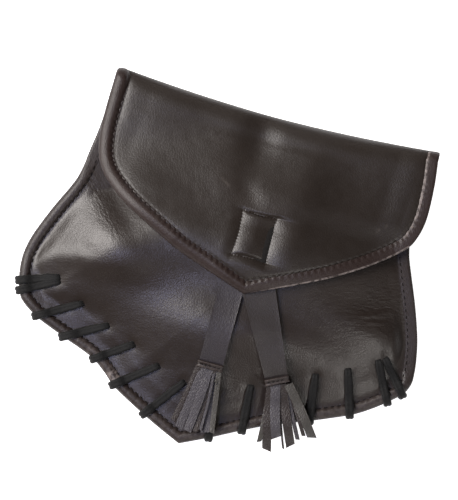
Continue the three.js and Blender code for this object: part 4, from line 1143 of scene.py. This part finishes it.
# Strips of each tassel: root, end, width, layer, slant of the cut end, and leather
BLUISH, BROWN, PALE = 0, 1, 2
FRINGE_LEATHERS = ["strap_bluish", "strap_brown", "strap_pale"]
STRIPS = {
    "left": [
        (-2.8, -51, -8.5, -83.2, 3.4, 0, 0.7, BROWN),
        (0.0, -51, -4.8, -86.0, 4.5, 1, 0.5, BLUISH),
        (3.0, -51, 0.1, -86.6, 4.5, 2, 0.3, BLUISH),
        (5.0, -51, 4.2, -85.8, 3.6, 1, -0.4, BROWN),
        (5.8, -51, 6.9, -84.4, 1.3, 2, 0.5, BLUISH),
        (6.8, -51, 9.5, -85.0, 4.4, 0, -0.5, BLUISH),
        (8.4, -51, 13.2, -84.2, 2.7, 2, 0.4, PALE),
        (9.6, -52, 8.0, -57.6, 1.7, 3, 0.5, PALE),
    ],
    "right": [
        (37.2, -52, 39.3, -82.5, 2.6, 0, -0.5, PALE),
        (37.6, -51, 44.4, -86.0, 5.0, 1, 0.9, BROWN),
        (39.8, -50, 47.6, -78.0, 5.2, 2, -0.9, BLUISH),
        (43.0, -56, 53.0, -83.0, 1.2, 0, 0.3, BROWN),
        (42.8, -49, 56.4, -80.4, 5.0, 1, -0.8, BROWN),
        (44.6, -49, 59.2, -76.0, 2.3, 0, 0.4, BLUISH),
        (45.6, -48, 61.8, -73.2, 2.1, 0, 0.4, BROWN),
        (46.4, -48, 66.4, -73.0, 4.8, 2, 1.2, PALE),
        (34.6, -52.4, 30.4, -51.2, 0.9, 3, 0.1, BROWN),
    ],
}


def lay_height(x, y, over):
    """Height on which fringes lie: the front, the binding at its edge, then down to the surface below."""
    edge = edge_distance(x, y)
    lowest = np.interp(x, bottom_line[:, 0], bottom_line[:, 1])
    crest = BODY_ROLL["crest"]
    on_binding = lift(y) + SEAM_MID + crest
    ramp = 2 * crest * smoothstep(edge, SLOT, SLOT + SHAPE_RUN)
    inside = np.maximum(front_height(x, y), on_binding - ramp) + over
    outside = lerp(on_binding + over, FRINGE_END, smoothstep(edge, 0, FRINGE_DROP))
    return np.where(y < lowest, outside, inside)


def build_tassel_head(name, row):
    """A wrapped band round the strap's end, with threads across its middle."""
    _, end, down, across = strap_frame(row)
    over = row["rise"] + HEAD_OVER
    half_width = row["widths"][1] / 2 + 0.5
    stations, around = 22, 40

    def laid(side, along):
        """Places on the strap's end and the heights that they lie at."""
        flat = end + across * side[..., None] + down * along[..., None]
        return flat, lay_height(flat[..., 0], flat[..., 1], over)

    along = np.linspace(-0.9, 2.9, stations)
    ridge = bump(along, -0.3, 0.55) + bump(along, 2.3, 0.55)
    ends = np.sqrt(np.clip(1 - (2 * np.linspace(0, 1, stations) - 1) ** 8, 0.2, 1))
    wide, tall = ring_places(around, 0.5, 0.6)
    side = (half_width + 0.15 * ridge[:, None]) * wide
    flat, base = laid(side, np.broadcast_to(along[:, None], side.shape))
    base = base.mean(axis=1, keepdims=True) * 0.7 + base * 0.3
    thick = (HEAD_HALF + 0.42 * ridge) * ends
    rings = np.dstack([flat, base + thick[:, None] * tall])
    scuffed_and_lit = 0.55 * ridge[:, None] * (tall > 0)
    new_piece(f"tassel_{name}_band", tube(rings), "band_leather", "strap_leather", wear=scuffed_and_lit)
    flat, base = laid(half_width * np.linspace(-0.86, 0.86, 40), np.ones(40))
    threads = stitch_bodies(np.column_stack([flat, base + HEAD_HALF]), UP, 2.4, 1.9)
    new_piece(f"tassel_{name}_stitches", threads, "thread", "strap_leather")


def build_fringe(name, row):
    """Cut strips that hang from a tassel's head."""
    draw = np.random.default_rng(len(name))
    t = np.linspace(0, 1, 33)[:, None]
    share = np.linspace(-1, 1, 7)[None]
    parts, wears, leathers = [], [], []
    for x0, y0, x1, y1, width, layer, slant, kind in STRIPS[name]:
        way = unit(np.array([x1 - x0, y1 - y0]))
        along = math.hypot(x1 - x0, y1 - y0) * t + slant * share * smoothstep(t, 0.9, 1)
        aside = width / 2 * share + draw.uniform(-0.6, 0.6) * np.sin(math.pi * t)
        x = x0 + way[0] * along - way[1] * aside
        y = y0 + way[1] * along + way[0] * aside
        over = lerp(row["rise"] + HEAD_OVER, FRINGE_OVER, smoothstep(along, 2, 14))
        over = over + layer * (STRIP_WALL + STRIP_GAP) * smoothstep(along, 0, 7)
        z = lay_height(x, y, over).mean(axis=1)
        for _ in range(12):
            z[1:-1] = (z[:-2] + z[1:-1] + z[2:]) / 3
        twist = draw.uniform(-0.14, 0.14) * width / 2 * share * smoothstep(t, 0.3, 1)
        arch = draw.uniform(0.0, 0.18) * (1 - share**2)
        upper = np.stack([x, y, z[:, None] + twist + arch], axis=-1)
        part = wall(upper, upper - STRIP_WALL * UP)
        parts.append(part)
        leathers += [kind] * len(part[1])
        edge = np.broadcast_to(smoothstep(np.abs(share), 0.8, 1.0), x.shape).ravel()
        wears.append(np.tile(edge, 2) * draw.uniform(0.3, 0.8))
    fringe = new_piece(
        f"tassel_{name}", joined(parts), FRINGE_LEATHERS[BLUISH], "strap_leather", [f"tassel_{name}"],
        wear=np.concatenate(wears))
    for kind in (BROWN, PALE):
        fringe.data.materials.append(MATERIALS[FRINGE_LEATHERS[kind]])
    fringe.data.polygons.foreach_set("material_index", leathers)


# Hidden pieces

def build_belt_loop():
    """A strap across the back with turned edges, sewn at both ends."""
    def seat(y):
        return lift(y) - GAP

    low, high = LOOP_BOTTOM + LOOP_LAND, LOOP_TOP - LOOP_LAND
    foot, head = low + LOOP_RAMP, high - LOOP_RAMP
    rows = stepped([LOOP_BOTTOM, low, foot, head, high, LOOP_TOP], [5, 12, 13, 12, 5])
    lower_half = rows < (low + high) / 2
    down = np.where(lower_half, smoothstep(rows, low, foot), 1 - smoothstep(rows, head, high))
    sewn = seat(np.where(lower_half, np.minimum(rows, low), np.maximum(rows, high)))
    upper = lerp(sewn, LOOP_WALL, down)
    slopes = np.gradient(np.column_stack([rows, upper]), axis=0)
    normals = unit(np.stack([slopes[:, 1], -slopes[:, 0]], axis=1))
    wide, tall = ring_places(48, 0.1, 0.55)
    depth = LOOP_WALL / 2 * (1 - tall)
    rings = np.stack([
        np.broadcast_to(LOOP_WIDTH / 2 * wide, (len(rows), len(wide))),
        rows[:, None] + normals[:, :1] * depth,
        np.maximum(upper[:, None] + normals[:, 1:] * depth, 0),
    ], axis=-1)
    new_piece("belt_loop", tube(rings), "panel_leather", "panel_leather", ["belt_loop"])
    parts = []
    x = np.linspace(-LOOP_WIDTH / 2 + 2, LOOP_WIDTH / 2 - 2, 60)
    for y in (LOOP_BOTTOM + 1.6, low - 1.0, high + 1.0, LOOP_TOP - 1.6):
        z = seat(y) - LOOP_WALL + 0.05
        path = np.column_stack([x, np.full(60, y), np.full(60, z)])
        parts.append(stitch_bodies(path, -UP))
    new_piece("belt_loop_stitches", joined(parts), "thread", "panel_leather")


def build_closure_patch():
    """A soft-edged patch between the flap and the straps."""
    u, v = np.meshgrid(np.linspace(-1, 1, 25), np.linspace(-1, 1, 33))
    x, y = BOX_X + BOX_WIDTH / 2 * u, BOX_Y + BOX_HEIGHT / 2 * v
    middle = flap_height(x, y) - WALL - 2 * GAP - PATCH_THICKNESS / 2
    soft = (1 - u**8) ** 0.5 * (1 - v**8) ** 0.5 * PATCH_THICKNESS / 2
    patch = wall(np.dstack([x, y, middle + soft]), np.dstack([x, y, middle - soft - 0.02]))
    new_piece("closure_patch", patch, "patch_pile", "patch_fabric", ["closure_patch"])


# Stage

PHOTO_TURN = math.radians(15)
VIEW_CENTRE = Vector((-3.3, 13.6, 12)) * MM
VIEW_HEIGHT = 0.270
CAMERA_DISTANCE = 2.2
SENSOR = 36
FLOOR_SIZE, FLOOR_DROP = 8, 0.0002

# Lights: bearing in the picture from its right side anticlockwise, height, distance, size, power, colour
LIGHTS = [
    ("key", 158, 47, 1.6, (1.0, 0.8), 41, (1.0, 0.955, 0.925)),
    ("cool_fill", 214, 69, 1.7, (0.3, 0.3), 4.9, (0.62, 0.65, 1.0)),
    ("low_fill", 298, 42, 1.7, (0.4, 0.35), 6.2, (1.0, 0.96, 0.92)),
    ("right_fill", 338, 48, 1.7, (0.5, 0.6), 1.0, (1.0, 0.92, 0.87)),
    ("top_fill", 84, 34, 1.7, (0.5, 0.5), 1.3, (1.0, 0.9, 0.85)),
]


def build_floor():
    """A pale floor, white to the camera as the photograph's ground is."""
    bpy.ops.mesh.primitive_plane_add(size=FLOOR_SIZE, location=(0, 0, -FLOOR_DROP))
    floor = bpy.context.object
    floor.name = "floor"
    paper = bpy.data.materials.new("floor_paper")
    tree = NodeTree(paper)
    seen = tree.add("LightPath", "Is Camera Ray")
    tree.close("Principled BSDF", {
        "Base Color": (0.93, 0.93, 0.93, 1),
        "Roughness": 0.9,
        "Specular IOR Level": 0.1,
        "Emission Color": (1, 1, 1, 1),
        "Emission Strength": tree.ranged(seen, 0.5, 1.0, 0, 1),
    })
    floor.data.materials.append(paper)


def build_lights():
    """A sky that is brightest low down and on the near side, and soft lights."""
    world = bpy.data.worlds.new("studio")
    tree = NodeTree(world)
    around = tree.add("TexCoord", "Generated")
    up, ahead = (tree.add("SeparateXYZ", axis, {"Vector": around}) for axis in "ZY")
    glow = tree.times(tree.ranged(up, 0.42, 0.06, 0.1, 0.6), tree.ranged(ahead, 1.0, 0.5, -0.5, 0.4))
    tree.close("Background", {"Color": (1.0, 0.95, 0.92, 1), "Strength": glow})
    bpy.context.scene.world = world
    for name, azimuth, elevation, distance, size, power, colour in LIGHTS:
        lamp = bpy.data.lights.new(name, "AREA")
        lamp.shape = "RECTANGLE"
        lamp.size, lamp.size_y = size
        lamp.energy = power
        lamp.color = colour
        light = bpy.data.objects.new(name, lamp)
        turn = math.radians(azimuth) + PHOTO_TURN
        rise = math.radians(elevation)
        back = Vector((math.cos(turn) * math.cos(rise), math.sin(turn) * math.cos(rise), math.sin(rise)))
        light.location = back * distance
        light.rotation_mode = "QUATERNION"
        light.rotation_quaternion = back.to_track_quat("Z", "Y")
        bpy.context.collection.objects.link(light)


def build_camera():
    """A camera that looks straight down."""
    lens = bpy.data.cameras.new("camera")
    lens.sensor_width = SENSOR
    lens.lens = SENSOR * CAMERA_DISTANCE / VIEW_HEIGHT
    lens.clip_start, lens.clip_end = 0.1, 20
    camera = bpy.data.objects.new("camera", lens)
    camera.location = VIEW_CENTRE + Vector((0, 0, CAMERA_DISTANCE))
    camera.rotation_euler = (0, 0, PHOTO_TURN)
    bpy.context.collection.objects.link(camera)
    bpy.context.scene.camera = camera
    bpy.context.scene.view_settings.view_transform = "Standard"


back_and_flap = build_back_and_flap()
front_panel = build_front_panel()
build_body_binding()
build_flap_binding()
build_box_stitches()
build_lace()
for strap_name, strap_row in STRAPS.items():
    build_strap(strap_name, strap_row)
    build_tassel_head(strap_name, strap_row)
    build_fringe(strap_name, strap_row)
build_belt_loop()
build_closure_patch()
build_floor()
build_lights()
build_camera()
